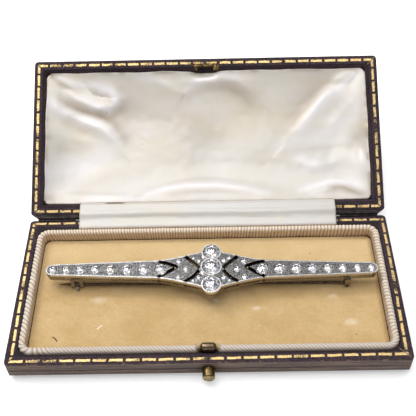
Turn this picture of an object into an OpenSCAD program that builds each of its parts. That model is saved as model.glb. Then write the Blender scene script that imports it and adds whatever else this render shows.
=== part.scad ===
// A bar brooch set with round stones, lying in its hinged presentation case.
// Millimetres. The case stands on z = 0 with its middle at the origin, its front
// to -Y and its lid thrown open to the back, where it almost rests on the table.

/* [Case] */
// Width of the case, left to right
case_w = 94; // [90:0.5:120]
// Depth of the case, front to back
case_d = 43.2; // [38:0.2:60]
// Height of the lower half, table to leather rim
base_h = 6.3; // [6:0.1:10]
// Height of the lid, rim to top
lid_h = 9.2; // [8.8:0.1:14]
// Radius of the upright corners
corner_r = 1.0; // [0.6:0.1:3]
// Rounding under the lower half
base_edge_r = 2.2; // [1:0.1:2.6]
// Rounding round the top of the lid
lid_edge_r = 3.0; // [1:0.1:3.4]
// Wooden floor of the lower half
base_floor_t = 1.3; // [1:0.1:1.8]
// Wooden top of the lid
lid_top_t = 1.8; // [1.2:0.1:2.4]
// Leather rim of the lower half at the sides
land_side = 2.5; // [2.3:0.1:4]
// Leather rim of the lower half at the front
land_front = 2.6; // [2.4:0.1:4]
// Leather rim of the lower half at the hinge
land_back = 3.4; // [3:0.1:5]
// Leather rim of the lid where it meets the lower half
lid_land = 2.45; // [2.3:0.05:2.5]
// Wall of the lid behind its chamfered inner edge
lid_wall = 3.3; // [3:0.1:3.6]
// Depth of that chamfer
lid_chamfer = 1.2; // [1:0.1:1.6]
// Gap between the two leather rims when the case is shut
closed_gap = 0.35; // [0.25:0.05:0.6]

/* [Hinge] */
// Angle that the lid is thrown open, from shut
open_angle = 148.9; // [95:0.1:149]
// Diameter of the hinge barrel
barrel_d = 1.0; // [0.9:0.05:1.1]
// Distance from the case's back to the middle of the barrel
barrel_out = 0.6; // [0.6:0.05:0.9]
// Diameter of the hinge wire
wire_d = 0.5; // [0.4:0.05:0.55]
// Length of the hinge
hinge_l = 90; // [70:1:91]
// Number of knuckles, an odd number
knuckle_n = 9; // [5:2:15]
// Gap between two knuckles
knuckle_gap = 0.12; // [0.1:0.02:0.3]
// Thickness of a hinge leaf
leaf_t = 0.3; // [0.25:0.05:0.5]
// Height of a hinge leaf on the case's back
leaf_h = 2.2; // [1.6:0.1:3]

/* [Pad and cord] */
// Thickness of the velvet pad
pad_t = 2.6; // [2:0.1:3]
// Rounding round the top of the pad
pad_edge_r = 0.7; // [0.3:0.1:1]
// Width of the edge cord
cord_w = 1.8; // [1.4:0.1:2.2]
// Height of the edge cord
cord_h = 3.8; // [3:0.1:4.2]
// How far the cord stands above the leather rim
cord_up = 1.0; // [0.6:0.05:1.05]
// Radius of the cord's inside corners
cord_corner_r = 1.3; // [0.8:0.1:3]
// Opening in the cord in front of the catch
cord_open = 5.0; // [4.6:0.1:7]

/* [Catch] */
// Diameter of the push button
button_d = 2.9; // [2:0.1:3.2]
// How far the button stands out of the case
button_out = 2.55; // [1.6:0.05:4]
// Height of the button's middle above the table
button_z = 3.45; // [3:0.05:4]
// Diameter of the stem behind the button
stem_d = 1.4; // [1:0.1:1.8]
// Travel of the button
button_travel = 0.8; // [0.4:0.1:1]
// Width of the catch lug
lug_w = 3.8; // [3:0.1:4.2]
// Thickness of the catch lug, front to back
lug_t = 1.9; // [1.4:0.1:2]
// How far the lug stands above the leather rim
lug_up = 2.0; // [1.4:0.1:2.2]
// Rounding of the lug's top
lug_r = 0.8; // [0.4:0.1:0.9]
// Width of the brass keeper plate in the lid
keeper_w = 6.4; // [5.4:0.1:9]
// Thickness of the keeper plate
keeper_t = 0.4; // [0.3:0.05:0.6]

/* [Lining and ribbon] */
// Depth of the satin at the lid's edge, from the rim
satin_edge = 1.35; // [1.3:0.05:1.8]
// Depth of the satin in the middle of the lid
satin_floor = 5.7; // [5.4:0.1:6.2]
// Width of the sloping satin border
satin_slope = 4.5; // [3:0.1:5]
// Width of the ribbon over the hinge
ribbon_w = 68; // [40:1:78]
// Thickness of the ribbon with its folds
ribbon_t = 1.0; // [1:0.05:1.4]

/* [Brooch] */
// Length of the bar
bar_l = 81.8; // [78:0.2:84]
// Half width of the bar at its rounded ends
end_half = 1.6; // [1.5:0.05:1.9]
// Half width that the straight sides would reach in the middle
mid_half = 3.15; // [2.9:0.05:3.4]
// Extra half width of the flare in the middle
flare = 2.95; // [2.4:0.05:3.2]
// Distance from the middle at which the flare starts
flare_reach = 13.5; // [12:0.1:16]
// Curve of the flare
flare_power = 1.4; // [1.2:0.05:1.8]
// Thickness of the pierced face
face_t = 0.9; // [0.7:0.05:1]
// Depth of the bar with its gallery
bar_t = 2.2; // [2:0.05:2.6]
// Width of the raised border
border_w = 0.3; // [0.2:0.05:0.4]
// Height of the raised border
border_h = 0.12; // [0.08:0.02:0.2]
// Thickness of the gallery wall
gallery_t = 0.45; // [0.35:0.05:0.6]
// Setback of the gallery wall under the face
gallery_in = 0.15; // [0.1:0.05:0.3]
// Height of the gallery slots
gallery_slot_h = 0.7; // [0.5:0.05:0.8]
// Length of a gallery slot
gallery_slot_l = 3.8; // [2.5:0.1:4]
// Distance from slot to slot
gallery_pitch = 4.9; // [4.8:0.1:5.2]
// Gap between a pair of gallery pillars
pillar_gap = 0.36; // [0.2:0.02:0.4]
// Width of the slits sawn through the face
slit_w = 0.55; // [0.4:0.05:0.6]
// Place of the bar in the case, right of the middle
bar_x = 0.9; // [-2:0.1:2]
// Place of the bar in the case, behind the middle
bar_y = 2.7; // [-4:0.1:4]
// Turn of the bar in the case
bar_turn = -0.6; // [-1.5:0.1:1.5]

/* [Stones] */
// Diameter of the stone in the middle collet
middle_d = 4.5; // [4:0.1:4.6]
// Diameter of the stones in the upper and lower collets
outer_d = 4.15; // [3.6:0.05:4.4]
// Wall of the three collets
collet_t = 0.3; // [0.25:0.05:0.4]
// Overlap of two collets where they are soldered
collet_join = 0.12; // [0.06:0.02:0.2]
// Height of the middle collet above the face
middle_up = 1.1; // [0.7:0.05:1.4]
// Height of the outer collets above the face
outer_up = 0.5; // [0.3:0.05:0.9]
// Number of stones in the row on each arm
row_n = 8; // [4:1:8]
// Diameter of the row's first stone, next to the middle
row_d_in = 3.2; // [2.6:0.05:3.4]
// Diameter of the row's last stone
row_d_out = 2.15; // [1.8:0.05:2.3]
// Metal between two stones of the row
row_gap = 1.15; // [0.8:0.05:1.15]
// Place of the row's first stone, from the middle
row_start = 12.5; // [12.2:0.1:12.8]
// Diameter of the stones in the chevrons
chevron_d = 1.7; // [1.3:0.05:1.8]
// Diameter of the larger corner stones
corner_d = 1.3; // [1:0.05:1.4]
// Diameter of the smaller corner stones
corner_small_d = 1.0; // [0.8:0.05:1.05]
// Clearance round a stone in its seat
seat_gap = 0.05; // [0.04:0.01:0.08]

/* [Pin] */
// Diameter of the pin stem
pin_d = 0.7; // [0.5:0.05:0.75]
// Drop from the bar's face to the pin
pin_drop = 4.35; // [4.2:0.05:5]
// Place of the pin, behind the bar's middle line
pin_y = -1.2; // [-1.3:0.05:0]
// Place of the pin's hinge, from the middle
pin_hinge_x = 33.6; // [30:0.2:35]
// Place of the safety catch, from the middle
pin_catch_x = 33.4; // [30:0.2:35]
// Diameter of the pin's hinge and catch barrels
fitting_d = 1.6; // [1.5:0.05:1.8]
// Length of the safety catch
catch_l = 3.1; // [2.6:0.1:4]
// Length of the pin's point past the catch
pin_tip = 3.0; // [2:0.1:4]
// Diameter of the rivet in the pin's hinge
rivet_d = 0.6; // [0.5:0.05:0.7]

/* [Hidden] */
$fn = 48;
gap = 0.08;
cut = 0.5;
arm_l = bar_l / 2;
hinge_y = case_d / 2 + barrel_out;
hinge_z = base_h + closed_gap;
cord_top = base_h + cord_up;
cord_bottom = cord_top - cord_h;
ledge_z = cord_bottom - gap;
pad_z = base_floor_t + gap;
pad_top = pad_z + pad_t;
face_z = pad_top + gap + pin_drop + fitting_d / 2;
cord_in_side = land_side + gap + cord_w;
cord_in_front = land_front + gap + cord_w;
cord_in_back = land_back + gap + cord_w;
collet_step = (middle_d + outer_d) / 2 + 2 * collet_t + 2 * seat_gap - collet_join;
pin_z = -pin_drop;
flare_steps = 9;
slit_border = 0.6 * border_w;

// Parts of the pin's fittings
ear_t = 0.5;
knuckle_w = 0.8;
bridge_t = 0.5;
post_share = 0.8;
ring_share = 0.3;
rivet_out = 0.15;
point_l = 2.4;
point_d = 0.15;
tab_r = 0.5;
tab_t = 0.35;
tab_reach = 1.15;
tab_down = 25;

// Seats: depth of a girdle under its metal, straight top and taper of a collet
girdle_down = 0.16;
collet_rim = 0.5;
collet_taper = 0.35;

// Room that the keeper and the lug's notch have in the lid
keeper_set = 0.3;
keeper_out = 1.3;
notch_room = 1.2;

// Names of the stones, in the order of their tables
ROW_SIDES = ["left", "right"];

// The row's stones get smaller by equal steps towards the end of the arm
function row_d(i) = row_d_in + (row_d_out - row_d_in) * i / max(1, row_n - 1);
function row_x(i) = i == 0 ? row_start : row_x(i - 1) + (row_d(i - 1) + row_d(i)) / 2 + row_gap;

// Small stones: place along the bar as a share of the flare's reach, place across
// as a share of the bar's half width there, diameter
CHEVRON = [
    [0.60, 0.66, chevron_d],
    [0.47, 0.00, chevron_d],
    [0.60, -0.66, chevron_d]
];
CORNER = [
    [0.228, 0.50, corner_d],
    [0.330, 0.73, corner_small_d]
];

// Slits: inner end, outer end, both as [share of the flare's reach, share of the
// half width at that place], and how far the middle of the slit bows outwards
SLITS = [
    [[0.232, 0.10], [0.470, 0.88], 0.10],
    [[0.232, -0.10], [0.470, -0.88], 0.35],
    [[0.635, 0.20], [0.955, 0.82], 0.22],
    [[0.635, 0.20], [0.955, -0.84], 0.12]
];

// Half width of the bar at a distance x from its middle
function flare_at(x) = flare * pow(max(0, 1 - x / flare_reach), flare_power);
function half_at(x) = mid_half - (mid_half - end_half) * x / arm_l + flare_at(x);
function slope_at(x) = (half_at(x + 0.1) - half_at(x)) / 0.1;
function inset_half(x, inset) = half_at(x) - inset * sqrt(1 + pow(slope_at(x), 2));

// One quarter of the outline: the curved flare, the straight side, the round end
function quarter(inset) = concat(
    [for (i = [0 : flare_steps])
        let (x = flare_reach * i / flare_steps)
        [x, inset_half(x, inset)]],
    [for (a = [90 : -18 : 0])
        [arm_l - end_half + (end_half - inset) * cos(a), (end_half - inset) * sin(a)]]
);
function flip(points, sx, sy) = [for (p = points) [sx * p[0], sy * p[1]]];
function backwards(points) = [for (i = [len(points) - 1 : -1 : 0]) points[i]];
function outline(inset) = let (q = quarter(inset), n = len(q)) concat(
    q,
    backwards([for (i = [0 : n - 2]) [q[i][0], -q[i][1]]]),
    flip([for (i = [1 : n - 1]) q[i]], -1, -1),
    backwards(flip([for (i = [1 : n - 2]) q[i]], -1, 1))
);

// A narrow curved strip from a to b, bowed sideways, and some more past each end
function strip_mid(a, b, bow, t) = a + (b - a) * t
    + bow * 4 * t * (1 - t) * [-(b - a)[1], (b - a)[0]] / norm(b - a);
function strip_side(a, b, bow, off, t) =
    let (d = strip_mid(a, b, bow, t + 0.01) - strip_mid(a, b, bow, t - 0.01))
    strip_mid(a, b, bow, t) + off * [-d[1], d[0]] / norm(d);
function strip(a, b, bow, w, more) =
    let (e = more / norm(b - a), ts = [for (i = [0 : 6]) (1 + 2 * e) * i / 6 - e])
    concat(
        [for (t = ts) strip_side(a, b, bow, w / 2, t)],
        backwards([for (t = ts) strip_side(a, b, bow, -w / 2, t)])
    );
function in_bar(place) = [place[0] * flare_reach, place[1] * half_at(place[0] * flare_reach)];

module rounded_rect(w, d, r) {
    square([w - 2 * r, d], center = true);
    square([w, d - 2 * r], center = true);
    for (sx = [-1, 1], sy = [-1, 1])
        translate([sx * (w / 2 - r), sy * (d / 2 - r)])
            circle(r);
}

// Front view of a block with its two lower corners rounded
module low_round(w, h, r) {
    translate([-w / 2, r])
        square([w, h - r]);
    translate([-w / 2 + r, 0])
        square([w - 2 * r, r + 0.01]);
    for (s = [-1, 1])
        translate([s * (w / 2 - r), r])
            circle(r);
}

// A block on z = 0 with rounded corners and rounded lower edges
module tray_block(w, d, h, plan_r, edge_r) {
    intersection() {
        linear_extrude(h)
            rounded_rect(w, d, plan_r);
        rotate([90, 0, 0])
            linear_extrude(d + 2, center = true)
                low_round(w, h, edge_r);
        rotate([90, 0, 90])
            linear_extrude(w + 2, center = true)
                low_round(d, h, edge_r);
    }
}

// A flat box given by the distances of its sides from the case's outside
module inner_box(side, front, back, r, z0, z1) {
    translate([0, (front - back) / 2, z0])
        linear_extrude(z1 - z0)
            rounded_rect(case_w - 2 * side, case_d - front - back, r);
}

// The hinge side of one case half: a strip let in flush with the back wall
module leaf_strip(z0, z1, extra) {
    translate([-hinge_l / 2 - extra, case_d / 2 - leaf_t - extra, z0])
        cube([hinge_l + 2 * extra, leaf_t + extra + (extra > 0 ? cut : 0), z1 - z0]);
}

module case_base() {
    stem_bore_r = stem_d / 2 + gap;
    color([0.24, 0.19, 0.22])
    difference() {
        tray_block(case_w, case_d, base_h, corner_r, base_edge_r);
        inner_box(land_side, land_front, land_back, cord_corner_r + cord_w, ledge_z, base_h + cut);
        inner_box(cord_in_side, cord_in_front, cord_in_back, cord_corner_r, base_floor_t, base_h);
        leaf_strip(base_h - leaf_h - gap, base_h + cut, gap);
        // Pocket of the catch lug and bore of its stem
        translate([-lug_w / 2 - gap, -case_d / 2 + land_front - gap, lug_foot_z() - gap])
            cube([lug_w + 2 * gap, lug_t + button_travel + 3 * gap, base_h]);
        translate([0, -case_d / 2 + land_front + cut, button_z])
            rotate([90, 0, 0])
                cylinder(h = land_front + 2 * cut, r = stem_bore_r);
        // The button's head sinks into the front when it is pressed
        translate([0, -case_d / 2 + button_travel + gap, button_z])
            rotate([90, 0, 0])
                cylinder(h = button_travel + cut, r = button_d / 2 + gap);
    }
}

module pad() {
    top_w = case_w - 2 * (cord_in_side + gap);
    top_d = case_d - cord_in_front - cord_in_back - 2 * gap;
    color([0.87, 0.76, 0.56])
    difference() {
        translate([0, (cord_in_front - cord_in_back) / 2, pad_top])
            mirror([0, 0, 1])
                tray_block(top_w, top_d, pad_t, cord_corner_r - gap, pad_edge_r);
        translate([-cord_open / 2, -case_d / 2, pad_z - cut])
            cube([cord_open, land_front + lug_t + button_travel + 6 * gap, pad_t + 2 * cut]);
    }
}

// Upright oval section of the cord: [outwards, up]
cord_section = [for (i = [0 : 11])
    let (a = 30 * i + 15, up = sin(a) > 0 ? 1 : -1)
    [cord_w / 2 * cos(a), cord_w / 2 * sin(a) + up * (cord_h - cord_w) / 2]];

// Middle line of the cord, from one side of the catch round to the other:
// [x, y, direction that points outwards]
function cord_route() =
    let (r = cord_corner_r + cord_w / 2,
         x = case_w / 2 - land_side - gap - cord_w / 2 - r,
         y0 = -case_d / 2 + land_front + gap + cord_w / 2 + r,
         y1 = case_d / 2 - land_back - gap - cord_w / 2 - r,
         corners = [[x, y0, -90], [x, y1, 0], [-x, y1, 90], [-x, y0, 180]])
    concat(
        [[cord_open / 2, y0 - r, -90]],
        [for (c = corners, i = [0 : 4])
            let (a = c[2] + 22.5 * i)
            [c[0] + r * cos(a), c[1] + r * sin(a), a]],
        [[-cord_open / 2, y0 - r, 270]]
    );

module edge_cord() {
    route = cord_route();
    n = len(cord_section);
    m = len(route);
    points = [for (p = route, c = cord_section)
        [p[0] + c[0] * cos(p[2]), p[1] + c[0] * sin(p[2]), c[1]]];
    sides = [for (j = [0 : m - 2], i = [0 : n - 1])
        let (k = (i + 1) % n) each [
            [j * n + i, j * n + k, (j + 1) * n + k],
            [j * n + i, (j + 1) * n + k, (j + 1) * n + i]
        ]];
    ends = [[for (i = [n - 1 : -1 : 0]) i], [for (i = [0 : n - 1]) (m - 1) * n + i]];
    color([0.87, 0.82, 0.73])
    translate([0, 0, cord_top - cord_h / 2])
        polyhedron(points, concat(sides, ends));
}

// Knuckles of one half: first is 0 or 1, tab_z is the tab's reach from the axis
module knuckles(first, tab_z0, tab_z1) {
    pitch = hinge_l / knuckle_n;
    knuckle_l = pitch - knuckle_gap;
    for (i = [first : 2 : knuckle_n - 1])
        translate([-hinge_l / 2 + (i + 0.5) * pitch, 0, 0])
            difference() {
                union() {
                    rotate([0, 90, 0])
                        cylinder(h = knuckle_l, d = barrel_d, center = true);
                    translate([-knuckle_l / 2, -barrel_out - leaf_t, tab_z0])
                        cube([knuckle_l, barrel_out + leaf_t - wire_d / 2 - gap, tab_z1 - tab_z0]);
                }
                rotate([0, 90, 0])
                    cylinder(h = pitch, d = wire_d + gap, center = true);
            }
}

module hinge_base_leaf() {
    color([0.42, 0.42, 0.36]) {
        leaf_strip(base_h - leaf_h, base_h - gap, 0);
        translate([0, hinge_y, hinge_z])
            knuckles(0, -closed_gap - leaf_t - gap, -gap);
    }
}

module hinge_pin() {
    color([0.36, 0.36, 0.32])
    translate([0, hinge_y, hinge_z])
        rotate([0, 90, 0])
            cylinder(h = hinge_l, d = wire_d, center = true);
}

// Turns what is modelled shut to the open place
module opened() {
    translate([0, hinge_y, hinge_z])
        rotate([-open_angle, 0, 0])
            translate([0, -hinge_y, -hinge_z])
                children();
}

module hinge_lid_leaf() {
    color([0.42, 0.42, 0.36])
    opened() {
        leaf_strip(hinge_z + gap, hinge_z + leaf_h, 0);
        translate([0, hinge_y, hinge_z])
            knuckles(1, gap, leaf_t + gap);
    }
}

// Sloping inner edge of the lid: a tapered box, wider at the rim
module taper_profile(half_rim, half_deep, depth) {
    polygon([[-half_rim, 0], [half_rim, 0], [half_deep, depth], [-half_deep, depth]]);
}

module lid_chamfer_cut() {
    t = lid_chamfer;
    run = lid_wall - lid_land;
    over = run * cut / t;
    translate([0, 0, hinge_z - cut])
        intersection() {
            rotate([90, 0, 0])
                linear_extrude(case_d, center = true)
                    taper_profile(case_w / 2 - lid_land + over, case_w / 2 - lid_wall, t + cut);
            rotate([90, 0, 90])
                linear_extrude(case_w, center = true)
                    taper_profile(case_d / 2 - lid_land + over, case_d / 2 - lid_wall, t + cut);
        }
}

function keeper_in() = lid_land - keeper_set;
function notch_w() = lug_w + 8 * gap;
function notch_z() = base_h + lug_up + 4 * gap;
function lug_foot_z() = button_z - stem_d / 2 - 2 * gap;

// Place of the keeper plate; with some extra all round it is the plate's recess
module keeper_place(extra) {
    open = extra > 0 ? cut : 0;
    translate([-keeper_w / 2 - extra, -case_d / 2 + keeper_in() - keeper_out - extra, hinge_z - open])
        cube([
            keeper_w + 2 * extra,
            keeper_set + keeper_out + 2 * extra,
            keeper_t + extra + open
        ]);
}

module lug_notch() {
    translate([-notch_w() / 2, -case_d / 2 + keeper_in(), hinge_z - cut])
        cube([notch_w(), lug_t + button_travel + notch_room, notch_z() - hinge_z + cut]);
}

module case_lid() {
    color([0.24, 0.19, 0.22])
    opened()
    difference() {
        translate([0, 0, hinge_z + lid_h])
            mirror([0, 0, 1])
                tray_block(case_w, case_d, lid_h, corner_r, lid_edge_r);
        inner_box(lid_wall, lid_wall, lid_wall, gap, hinge_z, hinge_z + lid_h - lid_top_t);
        lid_chamfer_cut();
        leaf_strip(hinge_z - cut, hinge_z + leaf_h + gap, gap);
        keeper_place(gap);
        lug_notch();
    }
}

module lid_keeper() {
    color([0.55, 0.46, 0.26])
    opened()
    difference() {
        keeper_place(0);
        lug_notch();
    }
}

// Satin folds of the lid: start and end as [share of half width, share of half
// depth], with -1 at the left and at the front, then height and half width
FOLDS = [
    [[-0.97, -0.93], [-0.62, -0.10], 1.5, 2.6],
    [[-0.90, -0.95], [-0.50, -0.45], 1.2, 2.2],
    [[0.97, -0.93], [0.62, -0.20], 1.4, 2.6],
    [[0.88, -0.95], [0.48, -0.40], 1.1, 2.2],
    [[-0.06, -0.92], [-0.02, -0.62], 0.7, 2.4],
    [[-0.96, 0.60], [-0.60, 0.82], 0.9, 2.2],
    [[0.95, 0.40], [0.70, 0.85], 1.0, 2.2],
    [[-0.70, 0.90], [0.70, 0.90], 0.8, 2.0]
];
satin_nx = 26;
satin_ny = 12;

function seg_dist(p, a, b) =
    let (ab = b - a, t = max(0, min(1, ((p - a) * ab) / (ab * ab))))
    norm(p - a - t * ab);
function bump(d, w) = d >= w ? 0 : pow(1 - pow(d / w, 2), 2);
function ease(t) = t <= 0 ? 0 : t >= 1 ? 1 : t * t * (3 - 2 * t);
function sum(list, i = 0) = i >= len(list) ? 0 : list[i] + sum(list, i + 1);
satin_half = [case_w / 2 - lid_wall - gap, case_d / 2 - lid_wall - gap];
satin_back = lid_h - lid_top_t - gap;
function satin_rim(p) = min(satin_half[0] - abs(p[0]), satin_half[1] - abs(p[1]));
function satin_bowl(p) = satin_edge + (satin_floor - satin_edge) * ease(satin_rim(p) / satin_slope);
function satin_folds(p) = sum([for (f = FOLDS)
    let (a = [f[0][0] * satin_half[0], f[0][1] * satin_half[1]],
         b = [f[1][0] * satin_half[0], f[1][1] * satin_half[1]])
    f[2] * bump(seg_dist(p, a, b), f[3])]);
// Over the catch lug the satin is tucked back
function satin_tuck(p) = bump(norm([p[0] / (notch_w() / 2 + 2), (p[1] + satin_half[1]) / 4.5]), 1);
function satin_depth(p) =
    let (soft = max(satin_edge, satin_bowl(p) - satin_folds(p)))
    soft + (satin_floor - soft) * min(1, 2 * satin_tuck(p));

// The lining is a closed pad: a folded hollow face and a flat back, whose faces
// all meet at one point in its middle
module lid_lining() {
    px = [for (j = [0 : satin_ny], i = [0 : satin_nx])
        [(2 * i / satin_nx - 1) * satin_half[0], (2 * j / satin_ny - 1) * satin_half[1]]];
    face = [for (p = px) [p[0], p[1], hinge_z + satin_depth(p)]];
    back = [for (p = px) [p[0], p[1], hinge_z + satin_back]];
    n = len(px);
    row = satin_nx + 1;
    top_faces = [for (j = [0 : satin_ny - 1], i = [0 : satin_nx - 1])
        let (k = j * row + i) each [[k, k + 1, k + row + 1], [k, k + row + 1, k + row]]];
    rim = concat(
        [for (i = [0 : satin_nx - 1]) i],
        [for (j = [0 : satin_ny - 1]) j * row + satin_nx],
        [for (i = [satin_nx : -1 : 1]) satin_ny * row + i],
        [for (j = [satin_ny : -1 : 1]) j * row]
    );
    m = len(rim);
    side_faces = [for (i = [0 : m - 1])
        let (a = rim[i], b = rim[(i + 1) % m]) each [[b, a, a + n], [b, a + n, b + n]]];
    back_faces = [for (i = [0 : m - 1]) [rim[(i + 1) % m] + n, rim[i] + n, 2 * n]];
    color([0.93, 0.91, 0.87])
    opened()
        polyhedron(
            concat(face, back, [[0, 0, hinge_z + satin_back]]),
            concat(top_faces, side_faces, back_faces));
}

// The ribbon is drawn in the opened case: along the lower half's rim, over the
// barrel, up the lid's rim and a little way into the lid
function on_lid(along, out) = [hinge_y, hinge_z]
    + along * [cos(180 - open_angle), sin(180 - open_angle)]
    + out * [-sin(180 - open_angle), cos(180 - open_angle)];
module hinge_ribbon() {
    low = base_h + 1.5 * gap;
    start_y = case_d / 2 - land_back + gap;
    over = barrel_d / 2 + 1.5 * gap;
    lid_start = barrel_out + 0.6;
    lid_end = barrel_out + lid_land;
    under = [
        [start_y, low],
        [case_d / 2 - 0.5, low],
        on_lid(0, over) + [-0.35, -0.12],
        on_lid(0.25, over),
        on_lid(lid_start + 0.3, 2 * gap),
        on_lid(lid_end, 2 * gap),
        on_lid(lid_end + (lid_wall - lid_land), -satin_edge + 3 * gap)
    ];
    top = [
        on_lid(lid_end + (lid_wall - lid_land) + ribbon_t, -satin_edge + 3 * gap),
        on_lid(lid_end + 0.3, ribbon_t),
        on_lid(lid_end - 1.2, ribbon_t + 0.25),
        on_lid(0.6, over + ribbon_t),
        on_lid(-0.5, over + ribbon_t - 0.2),
        [case_d / 2 - 1.2, low + ribbon_t],
        [start_y, low + ribbon_t - 0.2]
    ];
    color([0.93, 0.91, 0.87])
    translate([-ribbon_w / 2, 0, 0])
        rotate([90, 0, 90])
            linear_extrude(ribbon_w)
                polygon(concat(under, top));
}

module push_button() {
    chamfer = 0.2;
    color([0.52, 0.44, 0.22])
    translate([0, -case_d / 2 - gap, button_z])
        rotate([90, 0, 0]) {
            cylinder(h = button_out - gap - chamfer, d = button_d);
            translate([0, 0, button_out - gap - chamfer])
                cylinder(h = chamfer, d1 = button_d, d2 = button_d - 2 * chamfer);
            translate([0, 0, -land_front])
                cylinder(h = land_front + 0.1, d = stem_d);
        }
}

// The lug stands on the stem and rises between the ends of the cord
module catch_lug() {
    z0 = lug_foot_z();
    z1 = base_h + lug_up;
    y0 = -case_d / 2 + land_front;
    color([0.42, 0.36, 0.20])
    translate([0, y0 + lug_t / 2, 0])
        intersection() {
            translate([0, 0, z0])
                linear_extrude(z1 - z0)
                    rounded_rect(lug_w, lug_t, lug_r);
            translate([0, 0, z1])
                mirror([0, 0, 1])
                    rotate([90, 0, 0])
                        linear_extrude(lug_t + 2, center = true)
                            low_round(lug_w, z1 - z0, lug_r);
            translate([0, 0, z1])
                mirror([0, 0, 1])
                    rotate([90, 0, 90])
                        linear_extrude(lug_w + 2, center = true)
                            low_round(lug_t, z1 - z0, lug_r);
        }
}

// Puts what is modelled round the bar's middle, face at z = 0, in the case
module on_pad() {
    translate([bar_x, bar_y, face_z])
        rotate([0, 0, bar_turn])
            children();
}

// Proportions of an old round cut, as shares of its radius
table_r = 0.54;
crown_h = 0.34;
star_r = 0.78;
girdle_h = 0.05;
pavilion_h = 0.86;
lower_r = 0.25;
culet_r = 0.06;
star_h = crown_h * (1 - star_r * cos(22.5)) / (1 - table_r);
lower_h = pavilion_h * (1 - lower_r * cos(22.5)) / (1 - culet_r);

function ring(n, r, z, turn) = [for (i = [0 : n - 1])
    [r * cos(360 * i / n + turn), r * sin(360 * i / n + turn), z]];

// A round stone with its girdle's top edge on z = 0: table, 8 star, 8 kite and 16
// upper facets, girdle, 16 lower facets, 8 long pavilion facets and a culet
module round_stone(d) {
    r = d / 2;
    points = concat(
        ring(8, table_r * r, crown_h * r, 0),
        ring(8, star_r * r, star_h * r, 22.5),
        ring(16, r, 0, 0),
        ring(16, r, -girdle_h * r, 0),
        ring(8, lower_r * r, -(girdle_h + lower_h) * r, 22.5),
        ring(8, culet_r * r, -(girdle_h + pavilion_h) * r, 0)
    );
    T = 0;
    S = 8;
    G = 16;
    L = 32;
    P = 48;
    C = 56;
    faces = concat(
        [[for (i = [7 : -1 : 0]) T + i]],
        [for (i = [0 : 7]) let (j = (i + 1) % 8) each [
            [T + i, T + j, S + i],
            [T + j, S + j, S + i],
            [S + i, S + j, G + 2 * j],
            [S + i, G + 2 * i + 1, G + 2 * i],
            [S + i, G + 2 * j, G + 2 * i + 1],
            [P + i, L + 2 * i, L + 2 * i + 1],
            [P + i, L + 2 * i + 1, L + 2 * j],
            [P + i, L + 2 * j, P + j],
            [P + i, P + j, C + j],
            [P + i, C + j, C + i]
        ]],
        [for (i = [0 : 15]) let (j = (i + 1) % 16) each [
            [G + i, G + j, L + j],
            [G + i, L + j, L + i]
        ]],
        [[for (i = [0 : 7]) C + i]]
    );
    polyhedron(points, faces);
}

// Girdle height of a stone: collet stones sit just below their bezel, the others
// just below the face
function sunk(top) = top - girdle_down;

// Seat of a stone: a bore for the girdle and a cone round the pavilion
module seat(d, top, bottom) {
    r = d / 2 + seat_gap;
    z = sunk(top) - girdle_h * d / 2 - seat_gap;
    depth = z - bottom;
    small = max(0.3 * r, r - depth / pavilion_h * 0.9);
    translate([0, 0, z])
        cylinder(h = top - z + cut, r = r);
    translate([0, 0, bottom - 0.01])
        cylinder(h = depth + 0.02, r1 = small, r2 = r);
    translate([0, 0, bottom - cut])
        cylinder(h = cut, r = small);
}

module collet_shell(d, up) {
    r = d / 2 + seat_gap + collet_t;
    translate([0, 0, -bar_t])
        cylinder(h = bar_t + up - collet_rim, r1 = r - collet_taper, r2 = r);
    translate([0, 0, up - collet_rim])
        cylinder(h = collet_rim, r = r);
}

// All stones but the three in collets: [x, y, d]
function arm_stones() = concat(
    [for (s = [-1, 1], i = [0 : row_n - 1]) [s * row_x(i), 0, row_d(i)]],
    [for (s = [-1, 1], c = CHEVRON) [s * in_bar(c)[0], in_bar(c)[1], c[2]]],
    [for (s = [-1, 1], v = [-1, 1], c = CORNER) [s * in_bar(c)[0], v * in_bar(c)[1], c[2]]]
);

module slits(more) {
    for (s = [0, 1], f = SLITS)
        mirror([s, 0])
            polygon(strip(in_bar(f[0]), in_bar(f[1]), (f[1][1] > 0 ? 1 : -1) * f[2], slit_w + 2 * more, more));
}

// Raised metal round the face's edge and along its slits
module border_shape() {
    difference() {
        polygon(outline(0));
        polygon(outline(border_w));
    }
    intersection() {
        slits(slit_border);
        polygon(outline(border_w / 2));
    }
}

// Pierced face with its raised border
module bar_face() {
    difference() {
        union() {
            translate([0, 0, -face_t])
                linear_extrude(face_t)
                    difference() {
                        polygon(outline(0));
                        slits(0);
                    }
            linear_extrude(border_h)
                difference() {
                    border_shape();
                    slits(0);
                }
        }
        for (s = arm_stones())
            translate([s[0], s[1], 0])
                seat(s[2], 0, -face_t);
    }
}

// Wall under the face, pierced by long slots between paired pillars
module gallery() {
    slot_z = -face_t - gallery_slot_h;
    slot_n = floor((arm_l - end_half - gallery_slot_l) / gallery_pitch);
    first_x = middle_d / 2 + collet_t + gallery_slot_l / 2 + 0.5;
    difference() {
        translate([0, 0, -bar_t])
            linear_extrude(bar_t - face_t + 0.01)
                difference() {
                    polygon(outline(gallery_in));
                    polygon(outline(gallery_in + gallery_t));
                }
        for (s = [-1, 1], i = [0 : slot_n - 1]) {
            translate([s * (first_x + i * gallery_pitch), 0, slot_z + gallery_slot_h / 2])
                cube([gallery_slot_l, 4 * mid_half + 2 * flare, gallery_slot_h], center = true);
            translate([s * (first_x + (i + 0.5) * gallery_pitch), 0, slot_z + gallery_slot_h / 2])
                cube([pillar_gap, 4 * mid_half + 2 * flare, gallery_slot_h], center = true);
        }
    }
}

// A bridge across the gallery with a post down to a fitting at the pin
module fitting_bridge(x, w) {
    half = inset_half(abs(x), gallery_in + 0.1);
    translate([x - w / 2, -half, -bar_t])
        cube([w, 2 * half, bridge_t]);
}

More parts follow.
